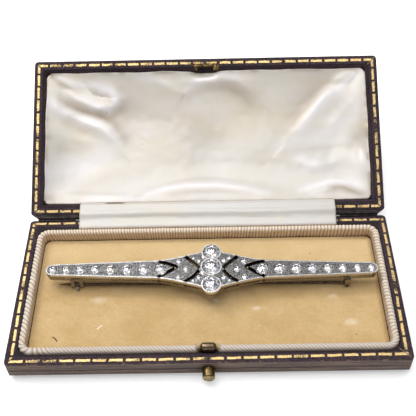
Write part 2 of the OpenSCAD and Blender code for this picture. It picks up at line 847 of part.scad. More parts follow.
// Two ears with a bore for the rivet, the axis across the bar
module hinge_ears() {
    post_w = fitting_d * post_share;
    fitting_bridge(pin_hinge_x, fitting_d);
    for (s = [-1, 1])
        translate([pin_hinge_x, pin_y + s * (knuckle_w / 2 + gap + ear_t / 2), 0]) {
            translate([0, 0, pin_z])
                rotate([90, 0, 0])
                    cylinder(h = ear_t, d = fitting_d, center = true);
            translate([-post_w / 2, -ear_t / 2, pin_z])
                cube([post_w, ear_t, -bar_t - pin_z + bridge_t / 2]);
        }
}

// Two rings in line with the pin; the safety sleeve turns between them
module catch_rings() {
    ring_l = catch_l * ring_share;
    post_w = fitting_d * post_share;
    fitting_bridge(-pin_catch_x, catch_l);
    for (s = [-1, 1])
        translate([-pin_catch_x + s * (catch_l - ring_l) / 2, pin_y, 0]) {
            translate([0, 0, pin_z])
                rotate([0, 90, 0])
                    cylinder(h = ring_l, d = fitting_d, center = true);
            translate([-ring_l / 2, -post_w / 2, pin_z])
                cube([ring_l, post_w, -bar_t - pin_z + bridge_t / 2]);
        }
}

module bar_frame() {
    color([0.78, 0.78, 0.78])
    on_pad()
    difference() {
        union() {
            bar_face();
            gallery();
            collet_shell(middle_d, middle_up);
            for (s = [-1, 1])
                translate([0, s * collet_step, 0])
                    collet_shell(outer_d, outer_up);
            hinge_ears();
            catch_rings();
        }
        seat(middle_d, middle_up, -bar_t);
        for (s = [-1, 1])
            translate([0, s * collet_step, 0])
                seat(outer_d, outer_up, -bar_t);
        translate([pin_hinge_x, pin_y, pin_z])
            rotate([90, 0, 0])
                cylinder(h = 2 * knuckle_w + 4 * ear_t, d = rivet_d + gap, center = true);
        translate([-pin_catch_x, pin_y, pin_z])
            rotate([0, 90, 0])
                cylinder(h = 2 * catch_l, d = pin_d + 2 * gap, center = true);
    }
}

// Stem with its knuckle at the right and its point at the left
module pin_stem() {
    stem_l = pin_hinge_x + pin_catch_x + catch_l / 2 + pin_tip;
    color([0.70, 0.66, 0.55])
    on_pad()
    translate([pin_hinge_x, pin_y, pin_z])
    difference() {
        union() {
            rotate([90, 0, 0])
                cylinder(h = knuckle_w, d = fitting_d - gap, center = true);
            rotate([0, -90, 0]) {
                cylinder(h = stem_l - point_l, d = pin_d);
                translate([0, 0, stem_l - point_l])
                    cylinder(h = point_l, d1 = pin_d, d2 = point_d);
            }
        }
        rotate([90, 0, 0])
            cylinder(h = 2 * knuckle_w, d = rivet_d + gap, center = true);
    }
}

module pin_rivet() {
    color([0.72, 0.72, 0.70])
    on_pad()
    translate([pin_hinge_x, pin_y, pin_z])
        rotate([90, 0, 0])
            cylinder(h = knuckle_w + 2 * (ear_t + gap + rivet_out), d = rivet_d, center = true);
}

// Sleeve of the safety catch, its oval tab towards the front
module catch_sleeve() {
    sleeve_l = catch_l * (1 - 2 * ring_share) - 2 * gap;
    color([0.66, 0.64, 0.58])
    on_pad()
    translate([-pin_catch_x, pin_y, pin_z])
    difference() {
        union() {
            rotate([0, 90, 0])
                cylinder(h = sleeve_l, d = fitting_d - 2 * gap, center = true);
            rotate([tab_down, 0, 0])
                translate([0, -tab_reach, 0]) {
                    cylinder(h = tab_t, r = tab_r, center = true);
                    translate([-tab_r, 0, -tab_t / 2])
                        cube([2 * tab_r, tab_reach - pin_d, tab_t]);
                }
        }
        rotate([0, 90, 0])
            cylinder(h = catch_l, d = pin_d + 2 * gap, center = true);
    }
}

module set_stone(x, y, d, top) {
    color([0.93, 0.94, 0.97])
    on_pad()
    translate([x, y, sunk(top)])
        round_stone(d);
}

module row_stone(s, i) {
    set_stone(s * row_x(i), 0, row_d(i), 0);
}

module small_stone(s, v, c) {
    set_stone(s * in_bar(c)[0], v * in_bar(c)[1], c[2], 0);
}

function side_name(s) = ROW_SIDES[s > 0 ? 1 : 0];
function level_name(v) = v > 0 ? "upper" : "lower";
ROW_NAMES = [for (s = [-1, 1], i = [0 : row_n - 1]) str("row_stone_", side_name(s), "_", i + 1)];
CHEVRON_LEVELS = ["upper", "middle", "lower"];
CHEVRON_NAMES = [for (s = [-1, 1], l = CHEVRON_LEVELS) str("chevron_stone_", side_name(s), "_", l)];
CORNER_NAMES = [for (s = [-1, 1], v = [1, -1], i = [0, 1])
    str("corner_stone_", side_name(s), "_", level_name(v), "_", i + 1)];

case_base();
pad();
edge_cord();
hinge_base_leaf();
hinge_pin();
push_button();
catch_lug();
case_lid();
lid_lining();
lid_keeper();
hinge_lid_leaf();
hinge_ribbon();
bar_frame();
pin_stem();
pin_rivet();
catch_sleeve();
set_stone(0, collet_step, outer_d, outer_up);  // collet_stone_upper
set_stone(0, 0, middle_d, middle_up);  // collet_stone_middle
set_stone(0, -collet_step, outer_d, outer_up);  // collet_stone_lower
for (s = [-1, 1], i = [0 : row_n - 1])
    row_stone(s, i);
for (s = [-1, 1], i = [0 : 2])
    small_stone(s, 1, CHEVRON[i]);
for (s = [-1, 1], v = [-1, 1], i = [0, 1])
    small_stone(s, v, CORNER[i]);
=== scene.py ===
# %% [markdown]
# # A bar brooch in its open jewel case
# This lesson dresses an exact model of a diamond bar brooch that lies in its leather case. The model
# comes as a fixed frame: every piece made here stays where the frame says. The hard metal and the
# stones are good as they are, and apart from the catch's lug they only get finishes. The leather, the
# velvet, the cord, the satin and the ribbon are made again in Blender, because cloth and leather need
# soft edges and folds.

# %% Load the frame
import math
import random
import bmesh
import bpy
import numpy as np
from mathutils import Matrix, Vector, noise


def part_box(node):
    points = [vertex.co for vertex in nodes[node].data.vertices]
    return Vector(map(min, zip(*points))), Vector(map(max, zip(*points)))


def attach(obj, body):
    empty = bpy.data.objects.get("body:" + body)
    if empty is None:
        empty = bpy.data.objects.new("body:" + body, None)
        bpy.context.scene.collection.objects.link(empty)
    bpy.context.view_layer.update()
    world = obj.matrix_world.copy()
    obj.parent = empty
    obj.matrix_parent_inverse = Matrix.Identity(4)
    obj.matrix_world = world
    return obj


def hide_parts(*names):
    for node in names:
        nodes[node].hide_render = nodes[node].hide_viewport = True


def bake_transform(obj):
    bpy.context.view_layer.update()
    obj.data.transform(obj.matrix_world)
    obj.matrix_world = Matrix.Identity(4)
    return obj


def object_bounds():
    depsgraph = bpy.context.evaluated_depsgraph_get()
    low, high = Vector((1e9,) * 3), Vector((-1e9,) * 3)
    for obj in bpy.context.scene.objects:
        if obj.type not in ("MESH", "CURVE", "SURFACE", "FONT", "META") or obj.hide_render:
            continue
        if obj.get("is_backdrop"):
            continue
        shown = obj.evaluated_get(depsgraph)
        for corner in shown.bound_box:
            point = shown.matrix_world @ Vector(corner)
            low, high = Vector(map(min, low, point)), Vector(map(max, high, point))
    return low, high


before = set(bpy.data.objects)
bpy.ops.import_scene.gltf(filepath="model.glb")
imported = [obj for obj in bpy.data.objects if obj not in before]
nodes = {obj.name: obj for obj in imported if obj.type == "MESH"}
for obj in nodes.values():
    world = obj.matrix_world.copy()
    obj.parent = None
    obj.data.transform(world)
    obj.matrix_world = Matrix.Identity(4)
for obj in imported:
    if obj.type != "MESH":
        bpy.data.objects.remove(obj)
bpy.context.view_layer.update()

# %% [markdown]
# ## Sizes
# A case maker works in millimetres, and so do these cells. Each piece is modelled in millimetres and
# made a thousand times smaller at the very end. The sizes repeat those of the frame.

# %% Sizes of the case and of the bar
HALF_W, HALF_D, BASE_H = 47.0, 21.6, 6.3
HINGE = Vector((0.0, 22.2, 6.65))
OPEN = math.radians(148.9)
LAND_BACK, LID_WALL = 3.4, 3.3
FACE_Z, ARM = 9.21, 40.9
BAR_X, BAR_Y, BAR_TURN = 0.9, 2.7, math.radians(-0.6)
BAR = Matrix.Translation((BAR_X, BAR_Y, FACE_Z)) @ Matrix.Rotation(BAR_TURN, 4, "Z")
TO_OPEN = Matrix.Translation(HINGE) @ Matrix.Rotation(-OPEN, 4, "X") @ Matrix.Translation(-HINGE)
TO_SHUT = TO_OPEN.inverted()
print("lid's front edge when open", [round(v, 2) for v in TO_OPEN @ Vector((0, -HALF_D, HINGE.z))])

# %% [markdown]
# ## Camera
# The photo was taken from high in front, about 20 cm away, with a lens a little longer than normal.
# The place, the turn and the lens were worked out from the corners of the case.

# %% Camera
FOCAL, FILM = 65.642, 36.0
CAMERA_PLACE = (0.002565, -0.108482, 0.159948)
YAW, PITCH, ROLL = -0.018, 0.855, -0.031


def view_axes(yaw, pitch, roll):
    """Right, up and back of a camera that looks down by pitch."""
    forward = Vector((math.sin(yaw) * math.cos(pitch), math.cos(yaw) * math.cos(pitch), -math.sin(pitch)))
    right = Vector((math.cos(yaw), -math.sin(yaw), 0.0))
    up = right.cross(forward)
    c, s = math.cos(roll), math.sin(roll)
    return c * right + s * up, -s * right + c * up, -forward


lens = bpy.data.cameras.new("camera")
lens.lens, lens.sensor_width = FOCAL, FILM
lens.clip_start, lens.clip_end = 0.01, 20.0
camera = bpy.data.objects.new("camera", lens)
bpy.context.scene.collection.objects.link(camera)
turn = Matrix(view_axes(YAW, PITCH, ROLL)).transposed().to_4x4()
camera.matrix_world = Matrix.Translation(CAMERA_PLACE) @ turn
bpy.context.scene.camera = camera
print("camera looks down by", round(math.degrees(PITCH), 1), "degrees")

# %% [markdown]
# ## A bench for finishes
# A finish is a small net of nodes. Wiring it by hand is slow to read, so one class wraps a node's
# output and lets us write sums such as 1 - mask. A second class makes any other node from its type,
# its settings and its values, for the world as well as for a finish. Patterns are read from the place
# on the piece itself, so they stay put when the lid moves.

# %% Sums on a node's output
def sums(operation, swapped=False):
    """The method behind one Python operator: it adds a Math node."""
    if swapped:
        return lambda wire, other: wire.sum(operation, other, wire)
    return lambda wire, other: wire.sum(operation, wire, other)


class Wire:
    """The output of a node. Sums with it add Math nodes."""
    __add__, __radd__ = sums("ADD"), sums("ADD", True)
    __sub__, __rsub__ = sums("SUBTRACT"), sums("SUBTRACT", True)
    __mul__, __rmul__ = sums("MULTIPLY"), sums("MULTIPLY", True)
    __truediv__, __rtruediv__ = sums("DIVIDE"), sums("DIVIDE", True)
    __mod__, __pow__ = sums("FLOORED_MODULO"), sums("POWER")
    __lt__, __gt__ = sums("LESS_THAN"), sums("GREATER_THAN")
    least, most = sums("MINIMUM"), sums("MAXIMUM")

    def __init__(self, net, socket):
        self.net, self.socket = net, socket

    def sum(self, operation, *values):
        return self.net.node("ShaderNodeMath", {"operation": operation}, values)

    def __abs__(self):
        return self.sum("ABSOLUTE", self)

    def __neg__(self):
        return self * -1.0


print("masks can be written with + - * / % ** < > and abs")


# %% Nets of nodes
class Net:
    """A tree of shader nodes, and the few kinds of node that the finishes use."""

    def __init__(self, tree):
        self.tree = tree

    def node(self, kind, settings=(), values=(), out=0):
        """Any node: its settings first, then the values or wires of its sockets."""
        made = self.tree.nodes.new(kind)
        for key, value in dict(settings).items():
            if key == "stops":
                ramp = made.color_ramp.elements
                while len(ramp) < len(value):
                    ramp.new(0.5)
                for stop, (place, colour) in zip(ramp, value):
                    stop.position, stop.color = place, (*colour, 1.0)
            else:
                setattr(made, key, value)
        pairs = values.items() if isinstance(values, dict) else enumerate(values)
        for key, value in pairs:
            if isinstance(value, Wire):
                self.tree.links.new(value.socket, made.inputs[key])
            else:
                made.inputs[key].default_value = value
        return Wire(self, made.outputs[out])

    def split(self, where):
        """The x, y and z of a place as three wires."""
        made = self.node("ShaderNodeSeparateXYZ", values=[where])
        outs = made.socket.node.outputs
        return [Wire(self, outs[i]) for i in range(3)]

    def stretch(self, where, scale, turn=0.0):
        """The place with each axis scaled, so that a pattern on it is drawn out."""
        return self.node("ShaderNodeMapping", {"vector_type": "POINT"},
                         {"Vector": where, "Scale": scale, "Rotation": (0.0, 0.0, turn)})

    def cloud(self, where, scale, detail=3.0, rough=0.5, seed=0.0):
        """Soft noise from 0 to 1; scale is in bumps per millimetre."""
        values = {"Vector": where, "W": seed, "Scale": scale, "Detail": detail, "Roughness": rough}
        return self.node("ShaderNodeTexNoise", {"noise_dimensions": "4D"}, values)

    def cells(self, where, scale):
        """Distance from the middle of the nearest of many random cells."""
        return self.node("ShaderNodeTexVoronoi", values={"Vector": where, "Scale": scale})

    def between(self, value, low, high):
        """0 below low and 1 above high, with a soft step."""
        values = [value, low, high, 0.0, 1.0]
        return self.node("ShaderNodeMapRange", {"interpolation_type": "SMOOTHSTEP"}, values)

    def mix(self, amount, first, second):
        """A colour from first to second."""
        first, second = [(*c, 1.0) if isinstance(c, tuple) and len(c) == 3 else c for c in (first, second)]
        return self.node("ShaderNodeMix", {"data_type": "RGBA"}, {0: amount, 6: first, 7: second}, out=2)

    def relief(self, height, strength=0.5, depth=0.0001, below=None):
        """A Bump node; depth in metres is the height that 1 stands for."""
        values = {"Strength": strength, "Distance": depth, "Height": height}
        if below is not None:
            values["Normal"] = below
        return self.node("ShaderNodeBump", values=values)


class Finish(Net):
    """A material with a Principled surface, and the nodes that vary it."""

    def __init__(self, name):
        self.material = bpy.data.materials.new(name)
        self.material.use_nodes = True
        super().__init__(self.material.node_tree)
        self.surface = self.tree.nodes["Principled BSDF"]

    def place(self, shut=False):
        """Place on the piece in millimetres; for the lid it can be its place when shut."""
        here = self.node("ShaderNodeTexCoord", out="Object")
        move = TO_SHUT if shut else Matrix.Identity(4)
        values = {"Vector": here, "Location": move.to_translation(),
                  "Rotation": move.to_euler(), "Scale": (1000.0,) * 3}
        return self.node("ShaderNodeMapping", {"vector_type": "POINT"}, values)

    def done(self, **sockets):
        """Sets the Principled surface's sockets, whose names are written with _ for spaces."""
        for key, value in sockets.items():
            socket = self.surface.inputs[key.replace("_", " ")]
            if isinstance(value, Wire):
                self.tree.links.new(value.socket, socket)
            elif isinstance(value, tuple):
                socket.default_value = (*value, 1.0)
            else:
                socket.default_value = value
        print("finish", self.material.name, "with", len(self.tree.nodes), "nodes")
        return self.material


print("a finish is ready to be mixed")

# %% [markdown]
# ## Light and floor
# The object stands on white and is lit from all round, with a broad soft box overhead and a smaller
# one at the left. Nine small lamps wake the fire of the stones. Diamonds and polished metal only look
# bright where something dark stands next to the light, so the world round the table is cloudy: dark
# screens with bright gaps between them. The white table glows a little, as a light table does, which
# keeps its shadows pale.

# %% Lamps
# Small lamps for the fire of the stones: azimuth and height in degrees, as seen from the brooch
SPARKS = [(75, 38), (100, 62), (130, 48), (40, 55), (15, 70), (170, 66), (215, 72), (325, 64), (270, 80)]
SPARK_FAR, SPARK_SIZE, SPARK_POWER = 0.55, 0.028, 0.055
SPARK_TINTS = [(1.0, 0.96, 0.90), (0.90, 0.95, 1.0), (1.0, 1.0, 1.0)]


def soft_box(name, place, aim, size, power, tint=(1.0, 1.0, 1.0)):
    """A square lamp at place, turned to aim, all in metres."""
    lamp = bpy.data.lights.new(name, "AREA")
    lamp.shape, lamp.size, lamp.energy, lamp.color = "SQUARE", size, power, tint
    obj = bpy.data.objects.new(name, lamp)
    obj.location = place
    obj.rotation_euler = (Vector(aim) - Vector(place)).to_track_quat("-Z", "Y").to_euler()
    bpy.context.scene.collection.objects.link(obj)


soft_box("box_above", (-0.08, 0.09, 0.59), (0.0, 0.01, 0.0), 0.42, 1.75)
soft_box("box_left", (-0.30, 0.20, 0.42), (0.0, 0.02, 0.01), 0.12, 0.8, (1.0, 0.98, 0.95))
for i, (azimuth, high) in enumerate(SPARKS):
    a, h = math.radians(azimuth), math.radians(high)
    ray = (math.cos(a) * math.cos(h), math.sin(a) * math.cos(h), math.sin(h))
    place = tuple(SPARK_FAR * c for c in ray)
    soft_box("spark_%d" % (i + 1), place, (0.0, 0.0, 0.0), SPARK_SIZE, SPARK_POWER, SPARK_TINTS[i % 3])
print("soft boxes 2, small lamps", len(SPARKS))

# %% World
world = bpy.data.worlds.new("studio")
bpy.context.scene.world = world
world.use_nodes = True
sky = Net(world.node_tree)
direction = sky.node("ShaderNodeTexCoord", out="Generated")
by_height = {"stops": [(0.0, (0.34, 0.34, 0.35)), (1.0, (0.95, 0.95, 0.96))]}
rise = sky.node("ShaderNodeValToRGB", by_height, [sky.split(direction)[2]])
screens = sky.node("ShaderNodeTexNoise", values={"Vector": direction, "Scale": 4.6, "Detail": 2.0})
dark_to_bright = {"stops": [(0.47, (0.09, 0.09, 0.10)), (0.56, (1.0, 1.0, 1.0))]}
gaps = sky.node("ShaderNodeValToRGB", dark_to_bright, [screens])
multiply = {"data_type": "RGBA", "blend_type": "MULTIPLY"}
both = sky.node("ShaderNodeMix", multiply, {0: 1.0, 6: rise, 7: gaps}, out=2)
background = sky.tree.nodes["Background"]
sky.tree.links.new(both.socket, background.inputs["Color"])
background.inputs["Strength"].default_value = 1.35
bpy.context.scene.view_settings.view_transform = "Standard"
print("world has", len(sky.tree.nodes), "nodes")

# %% Floor
# Half the width of the floor in metres
FLOOR_REACH = 1.5
plan = bmesh.new()
bmesh.ops.create_grid(plan, x_segments=1, y_segments=1, size=FLOOR_REACH)
floor_mesh = bpy.data.meshes.new("floor")
plan.to_mesh(floor_mesh)
plan.free()
floor = bpy.data.objects.new("floor", floor_mesh)
bpy.context.scene.collection.objects.link(floor)
white = Finish("white_floor").done(Base_Color=(0.97, 0.97, 0.97), Roughness=0.9,
                                   Emission_Color=(1.0, 1.0, 1.0), Emission_Strength=0.32)
floor_mesh.materials.append(white)
floor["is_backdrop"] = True
print("floor reaches", FLOOR_REACH, "m each way")

# %% [markdown]
# ## Making pieces
# Every new piece ends in the same way. Its mesh is shrunk from millimetres to metres, it gets its
# finish and it rides on the body that carries it. The leather and the velvet start from a node's own
# solid, and the cord, the satin and the ribbon from a flat grid.

# %% Finish a piece
def piece(name, shape, body, finish, sharp=None):
    """Turns a bmesh in millimetres into a piece that rides on a body."""
    bmesh.ops.scale(shape, vec=(0.001,) * 3, verts=shape.verts)
    mesh = bpy.data.meshes.new(name)
    shape.to_mesh(mesh)
    shape.free()
    mesh.materials.append(finish)
    mesh.shade_smooth()
    if sharp is not None:
        mesh.set_sharp_from_angle(angle=math.radians(sharp))
    obj = bpy.data.objects.new(name, mesh)
    bpy.context.scene.collection.objects.link(obj)
    if body:
        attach(obj, body)
    print("piece", name, "faces", len(mesh.polygons))
    return obj


def dress(finish, *names):
    """Gives nodes of the frame a finish."""
    for name in names:
        obj = nodes[name]
        if not obj.material_slots:
            obj.data.materials.append(finish)
        for holder in obj.material_slots:
            holder.material = finish
    print("dressed", ", ".join(names)[:90])


print("pieces are made in millimetres and finished in metres")

# %% Starts of a piece
# Thickness of the silk in metres
SILK = 0.00012


def solid_of(node):
    """A node's solid in millimetres, welded into one skin."""
    shape = bmesh.new()
    shape.from_mesh(nodes[node].data)
    bmesh.ops.scale(shape, vec=(1000.0,) * 3, verts=shape.verts)
    bmesh.ops.remove_doubles(shape, verts=shape.verts, dist=0.002)
    print("solid of", node, "has", len(shape.verts), "corners")
    return shape


def rolled_grid(across, along):
    """A flat grid whose corners run from 0 to 1 both ways, ready to be rolled or draped."""
    shape = bmesh.new()
    bmesh.ops.create_grid(shape, x_segments=across, y_segments=along, size=0.5)
    bmesh.ops.translate(shape, vec=(0.5, 0.5, 0.0), verts=shape.verts)
    return shape


def thicken(silk):
    """Gives a piece of silk its thickness."""
    body = silk.modifiers.new("cloth", "SOLIDIFY")
    body.thickness, body.offset = SILK, -1.0


# %% [markdown]
# ## Leather
# The case is covered in dark aubergine morocco, a goatskin with a fine pebble grain. Its rims carry a
# line of gilt dashes that a hot tool pressed in. A hundred years of handling took the gold off in
# places and rubbed the edges brown. The dashes are worked out from the distance to the case's edge,
# so they turn the corners as the tool does.

# %% Gilt tooling
DASH_BASE, DASH_LID = 3.85, 3.60


def tooling(f, where, pitch, rim_z, rim_up, lean):
    """Masks of the gilt line: the pressed dashes and the gold that is left on them. lean is how far the
    tool strayed inwards towards the front corners, in millimetres."""
    x, y, z = f.split(where)
    to_side, to_end = HALF_W - abs(x), HALF_D - abs(y)
    on_side = to_side < to_end
    edge = to_side.least(to_end)
    run = y * on_side + x * (1.0 - on_side)
    # The rim faces up on the lower half and down on the shut lid
    above = (z - rim_z) * rim_up
    rim = f.between(above, -0.22, -0.10)
    wobble = (f.cloud(where, 0.7, 2.0) - 0.5) * 0.34
    ragged = (f.cloud(where, 4.0, 3.0, 0.7, seed=2.0) - 0.5) * 0.42
    stray = f.between(-y, -8.0, 20.0) * on_side + f.between(x, -10.0, 45.0) * (1.0 - on_side)
    inset = stray * lean + (1.22 - 0.4 * lean)
    line = 1.0 - f.between(abs(edge + wobble - inset) + ragged, 0.26, 0.40)
    beat = abs((run + wobble * 2.4) % pitch - pitch / 2)
    dash = 1.0 - f.between(beat + ragged, pitch / 2 - 0.40, pitch / 2 - 0.24)
    mitre = f.between(abs(to_side - to_end), 0.08, 0.26)
    stamp = line * dash * mitre * rim
    fleck = f.cloud(where, 3.2, 4.0, 0.75, seed=6.0)
    kept = f.between(f.cloud(where, 0.26, 3.0, seed=5.0) + 0.75 * fleck, 0.70, 0.86)
    # Specks of gold stuck beside the line, and a thin gold crease where the leather is mitred
    speck = f.between(f.cloud(where, 5.5, 2.0, 0.6, seed=9.0), 0.66, 0.72)
    speck = speck * (1.0 - f.between(abs(edge - 1.3), 0.5, 1.1)) * rim
    crease = (1.0 - f.between(abs(to_side - to_end), 0.05, 0.11)) * f.between(fleck, 0.42, 0.56)
    crease = crease * rim * (x > 0) * (y < 0)
    return stamp, (stamp * kept).most(speck * 0.55).most(crease * 0.8), edge, above, rim


print("dashes along the front", round(2 * HALF_W / DASH_BASE))


# %% Morocco leather
def leather(name, shut, rim_z, rim_up, pitch, lean, wear):
    """Leather of one half, whose dashes are pitch apart; wear is how much its walls are rubbed."""
    f = Finish(name)
    where = f.place(shut)
    x, y, z = f.split(where)
    stamp, gold, edge, above, rim = tooling(f, where, pitch, rim_z, rim_up, lean)
    pebble = f.cells(where, 2.1)
    fine = f.cloud(where, 7.0, 3.0, 0.65)
    tone = f.cloud(where, 0.22, 3.0, 0.6, seed=1.0)
    hide = f.mix(f.between(tone, 0.35, 0.70), (0.028, 0.015, 0.024), (0.050, 0.029, 0.038))
    hide = f.mix(f.between(fine, 0.52, 0.70) * 0.60, hide, (0.110, 0.074, 0.078))
    hide = f.mix(f.between(pebble, 0.42, 0.80) * 0.75, hide, (0.012, 0.007, 0.010))
    # The walls are rubbed in lines along the case, most of all in front, where hands hold it
    held = f.between(-y, 19.0, 21.2) * 0.70 + 0.30
    streak = f.cloud(f.stretch(where, (0.11, 0.11, 2.3)), 1.0, 5.0, 0.74, seed=3.0)
    outside = (1.0 - rim) * (1.0 - f.between(edge, 0.25, 0.55))
    hide = f.mix(outside * (0.50 * wear), hide, (0.125, 0.090, 0.076))
    rubbed = f.between(streak + 0.35 * fine, 0.58, 0.84) * outside * held
    hide = f.mix(rubbed * (0.80 * wear), hide, (0.235, 0.172, 0.126))
    fleck = f.between(f.cloud(f.stretch(where, (0.7, 0.7, 1.6)), 2.6, 4.0, 0.8, seed=8.0), 0.57, 0.70)
    hide = f.mix(fleck * outside * held * (0.60 * wear), hide, (0.360, 0.265, 0.165))
    # Painted shadow: a dark band on the rim along the foot of the cord, and on the lid along the satin's
    # edge
    hide = f.mix(f.between(edge, 2.02, 2.42) * rim * 0.75, hide, (0.010, 0.006, 0.008))
    # Worn outer edge, brown and a little gold
    worn = (1.0 - f.between(edge, 0.05, 0.40)) * f.between(above, -1.0, -0.15)
    worn = worn * f.between(f.cloud(where, 0.8, 4.0, 0.7, seed=4.0), 0.50, 0.66)
    hide = f.mix(worn * 0.70, hide, (0.250, 0.165, 0.085))
    # Two creases run along each wall, pressed in as bumps and darkened with painted shade
    crease_a = f.between(abs(z - rim_z + rim_up * 2.6 + (tone - 0.5) * 0.5), 0.04, 0.34)
    crease_b = f.between(abs(z - rim_z + rim_up * 5.3 + (tone - 0.5) * 0.7), 0.04, 0.30)
    grooves = crease_a * crease_b
    hide = f.mix((1.0 - grooves) * outside * 0.75, hide, (0.016, 0.010, 0.011))
    base = f.mix(stamp * 0.7, hide, (0.045, 0.026, 0.022))
    gilt = f.mix(f.between(fine, 0.40, 0.60), (0.46, 0.25, 0.055), (1.0, 0.82, 0.42))
    base = f.mix(gold, base, gilt)
    if shut:
        # The catch rubbed the leather behind its plate down to brown and gold
        patch = 1.0 - f.between(abs(x - 0.4) + (fine - 0.5) * 1.6, 2.9, 3.6)
        patch = patch * f.between(edge, 1.75, 2.0) * (y < 0) * f.between(above, -1.7, -1.5)
        bare = f.mix(f.between(fine, 0.42, 0.56), (0.040, 0.022, 0.012), (0.340, 0.215, 0.070))
        bare = f.mix(f.between(above, -1.0, -0.7), (0.006, 0.004, 0.003), bare)
        base = f.mix(patch, base, bare)

    grain = f.relief(f.between(pebble, 0.05, 0.75) * (1.0 - 0.8 * gold), 0.45, 0.00014)
    grain = f.relief(fine + streak * outside * held * 2.2, 0.45, 0.00012, grain)
    grain = f.relief(1.0 - stamp, 0.55, 0.00008, grain)
    grain = f.relief(grooves.most(1.0 - outside), 0.7, 0.00030, grain)
    return f.done(Base_Color=base, Roughness=f.between(fine, 0.0, 1.0) * 0.16 + 0.58 - gold * 0.26,
                  Metallic=gold * 0.55, Normal=grain, Specular_IOR_Level=0.22)


base_leather = leather("leather_base", False, BASE_H, 1.0, DASH_BASE, 0.5, 1.0)
lid_leather = leather("leather_lid", True, HINGE.z, -1.0, DASH_LID, 0.0, 0.6)

# %% [markdown]
# ## The two halves of the case
# Each half is a wooden tray with leather glued over it. The frame's solid has the right shape but
# knife-sharp rims, and leather never folds that sharply. So a copy of the solid is welded into one
# skin, its flat faces are joined again and the rim's edges are rounded with a bevel.

# %% Leather halves
RIM_BEVEL = 0.22


def leather_half(name, node, body, finish, rim_of, rim_z):
    """One half of the case; rim_of turns a place so that its rim lies level at rim_z."""
    shape = solid_of(node)
    bmesh.ops.dissolve_limit(shape, angle_limit=math.radians(1.0), verts=shape.verts, edges=shape.edges)
    at_rim = [e for e in shape.edges
              if all(abs((rim_of @ v.co).z - rim_z) < 0.01 for v in e.verts)
              and len(e.link_faces) == 2 and e.calc_face_angle(0.0) > math.radians(35)]
    bmesh.ops.bevel(shape, geom=at_rim, affect="EDGES", offset=RIM_BEVEL, offset_type="OFFSET", segments=3,
                    profile=0.5, material=-1, clamp_overlap=True)
    bmesh.ops.triangulate(shape, faces=[g for g in shape.faces if len(g.verts) > 4])
    print(node, "rounded", len(at_rim), "edges")
    obj = piece(name, shape, body, finish, sharp=35)
    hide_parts(node)


leather_half("leather_lower_half", "case_base", "base", base_leather, Matrix.Identity(4), BASE_H)
leather_half("leather_lid_half", "case_lid", "lid", lid_leather, TO_SHUT, HINGE.z)

# %% [markdown]
# ## The velvet pad
# The pad is a card with a thin wad and short cream velvet over it. A voxel remesh turns the plain
# solid into an even skin, and then the skin is softened and pressed up against the cord at its edges.
# Velvet looks mottled because its pile lies in different directions where fingers brushed it. This
# pad also shows pale scuffs, a dark hair and a bit of white lint.

# %% Velvet
# Half the width and half the depth of the pad, and how far its middle lies back
PAD_X, PAD_Y, PAD_MIDDLE = 42.62, 16.74, -0.4
f = Finish("cream_velvet")
where = f.place()
x, y, z = f.split(where)
nap = f.cloud(f.stretch(where, (0.8, 1.0, 1.0), 0.3), 0.13, 3.0, 0.55)
brush = f.cloud(f.stretch(where, (0.6, 1.0, 1.0), -0.25), 0.50, 4.0, 0.6, seed=3.0)
tuft = f.cloud(where, 2.4, 4.0, 0.80, seed=5.0)
pile = f.mix(f.between(nap, 0.30, 0.70), (0.520, 0.353, 0.158), (0.605, 0.432, 0.215))
pile = f.mix(f.between(brush, 0.52, 0.78) * 0.25, pile, (0.730, 0.580, 0.365))
pile = f.mix((1.0 - f.between(brush, 0.26, 0.46)) * 0.42, pile, (0.480, 0.300, 0.125))
pile = f.mix(f.between(tuft, 0.40, 0.66) * 0.40, pile, (0.430, 0.268, 0.112))
# Painted light: the velvet is lighter towards the back of the case
pile = f.mix(f.between(y, -4.0, 16.0) * 0.30, pile, (0.820, 0.645, 0.375))
print("velvet's pile takes", len(f.tree.nodes), "nodes")

# %% Scuffs and fibres on the velvet
# Faint pale scuffs where the brooch was laid down many times: x, y and size
SCUFFS = [(30.8, -2.3, 1.5), (34.5, -9.9, 2.2), (-26.8, -2.4, 2.6), (1.7, -3.1, 1.2), (12.0, -5.5, 1.6)]
for sx, sy, wide in SCUFFS:
    far = ((x - sx) * (x - sx) * 0.5 + (y - sy) * (y - sy) * 1.6) ** 0.5
    pale = (1.0 - f.between(far + (brush - 0.5) * 2.2, 0.1 * wide, 0.8 * wide)) * f.between(tuft, 0.30, 0.62)
    pile = f.mix(pale * 0.55, pile, (0.880, 0.790, 0.650))


def fibre(x0, y0, turn, half, thick, bow):
    """Mask of a short curved fibre that lies on the pad."""
    c, s = math.cos(turn), math.sin(turn)
    along = (x - x0) * c + (y - y0) * s
    across = (y - y0) * c - (x - x0) * s + along * along * bow
    thin = 1.0 - f.between(abs(across), thick, thick + 0.06)
    return thin * (1.0 - f.between(abs(along), half, half + 0.12))


pile = f.mix(fibre(-36.5, -13.3, -0.78, 0.85, 0.13, 0.22) * 0.92, pile, (0.060, 0.030, 0.016))
pile = f.mix(fibre(-26.2, -10.2, 0.80, 0.75, 0.09, 0.0) * 0.80, pile, (0.900, 0.860, 0.780))
dots = 1.0 - f.between(f.cells(where, 0.16), 0.022, 0.045)
pile = f.mix(dots * 0.7, pile, (0.200, 0.110, 0.045))
print("scuffs", len(SCUFFS), "fibres 2")

# %% Dust and painted shade on the velvet
# Along the cord the edge is darker: partly dust, most of all at the right, and partly painted shade
near = f.between(abs(x), 41.2, 42.5).most(f.between(abs(y - PAD_MIDDLE), 15.3, 16.7))
dust_and_edge_shade = near * f.between(tuft + nap + f.between(x, 30.0, 42.0) * 0.30, 0.92, 1.45)
pile = f.mix(dust_and_edge_shade * 0.75, pile, (0.230, 0.135, 0.055))
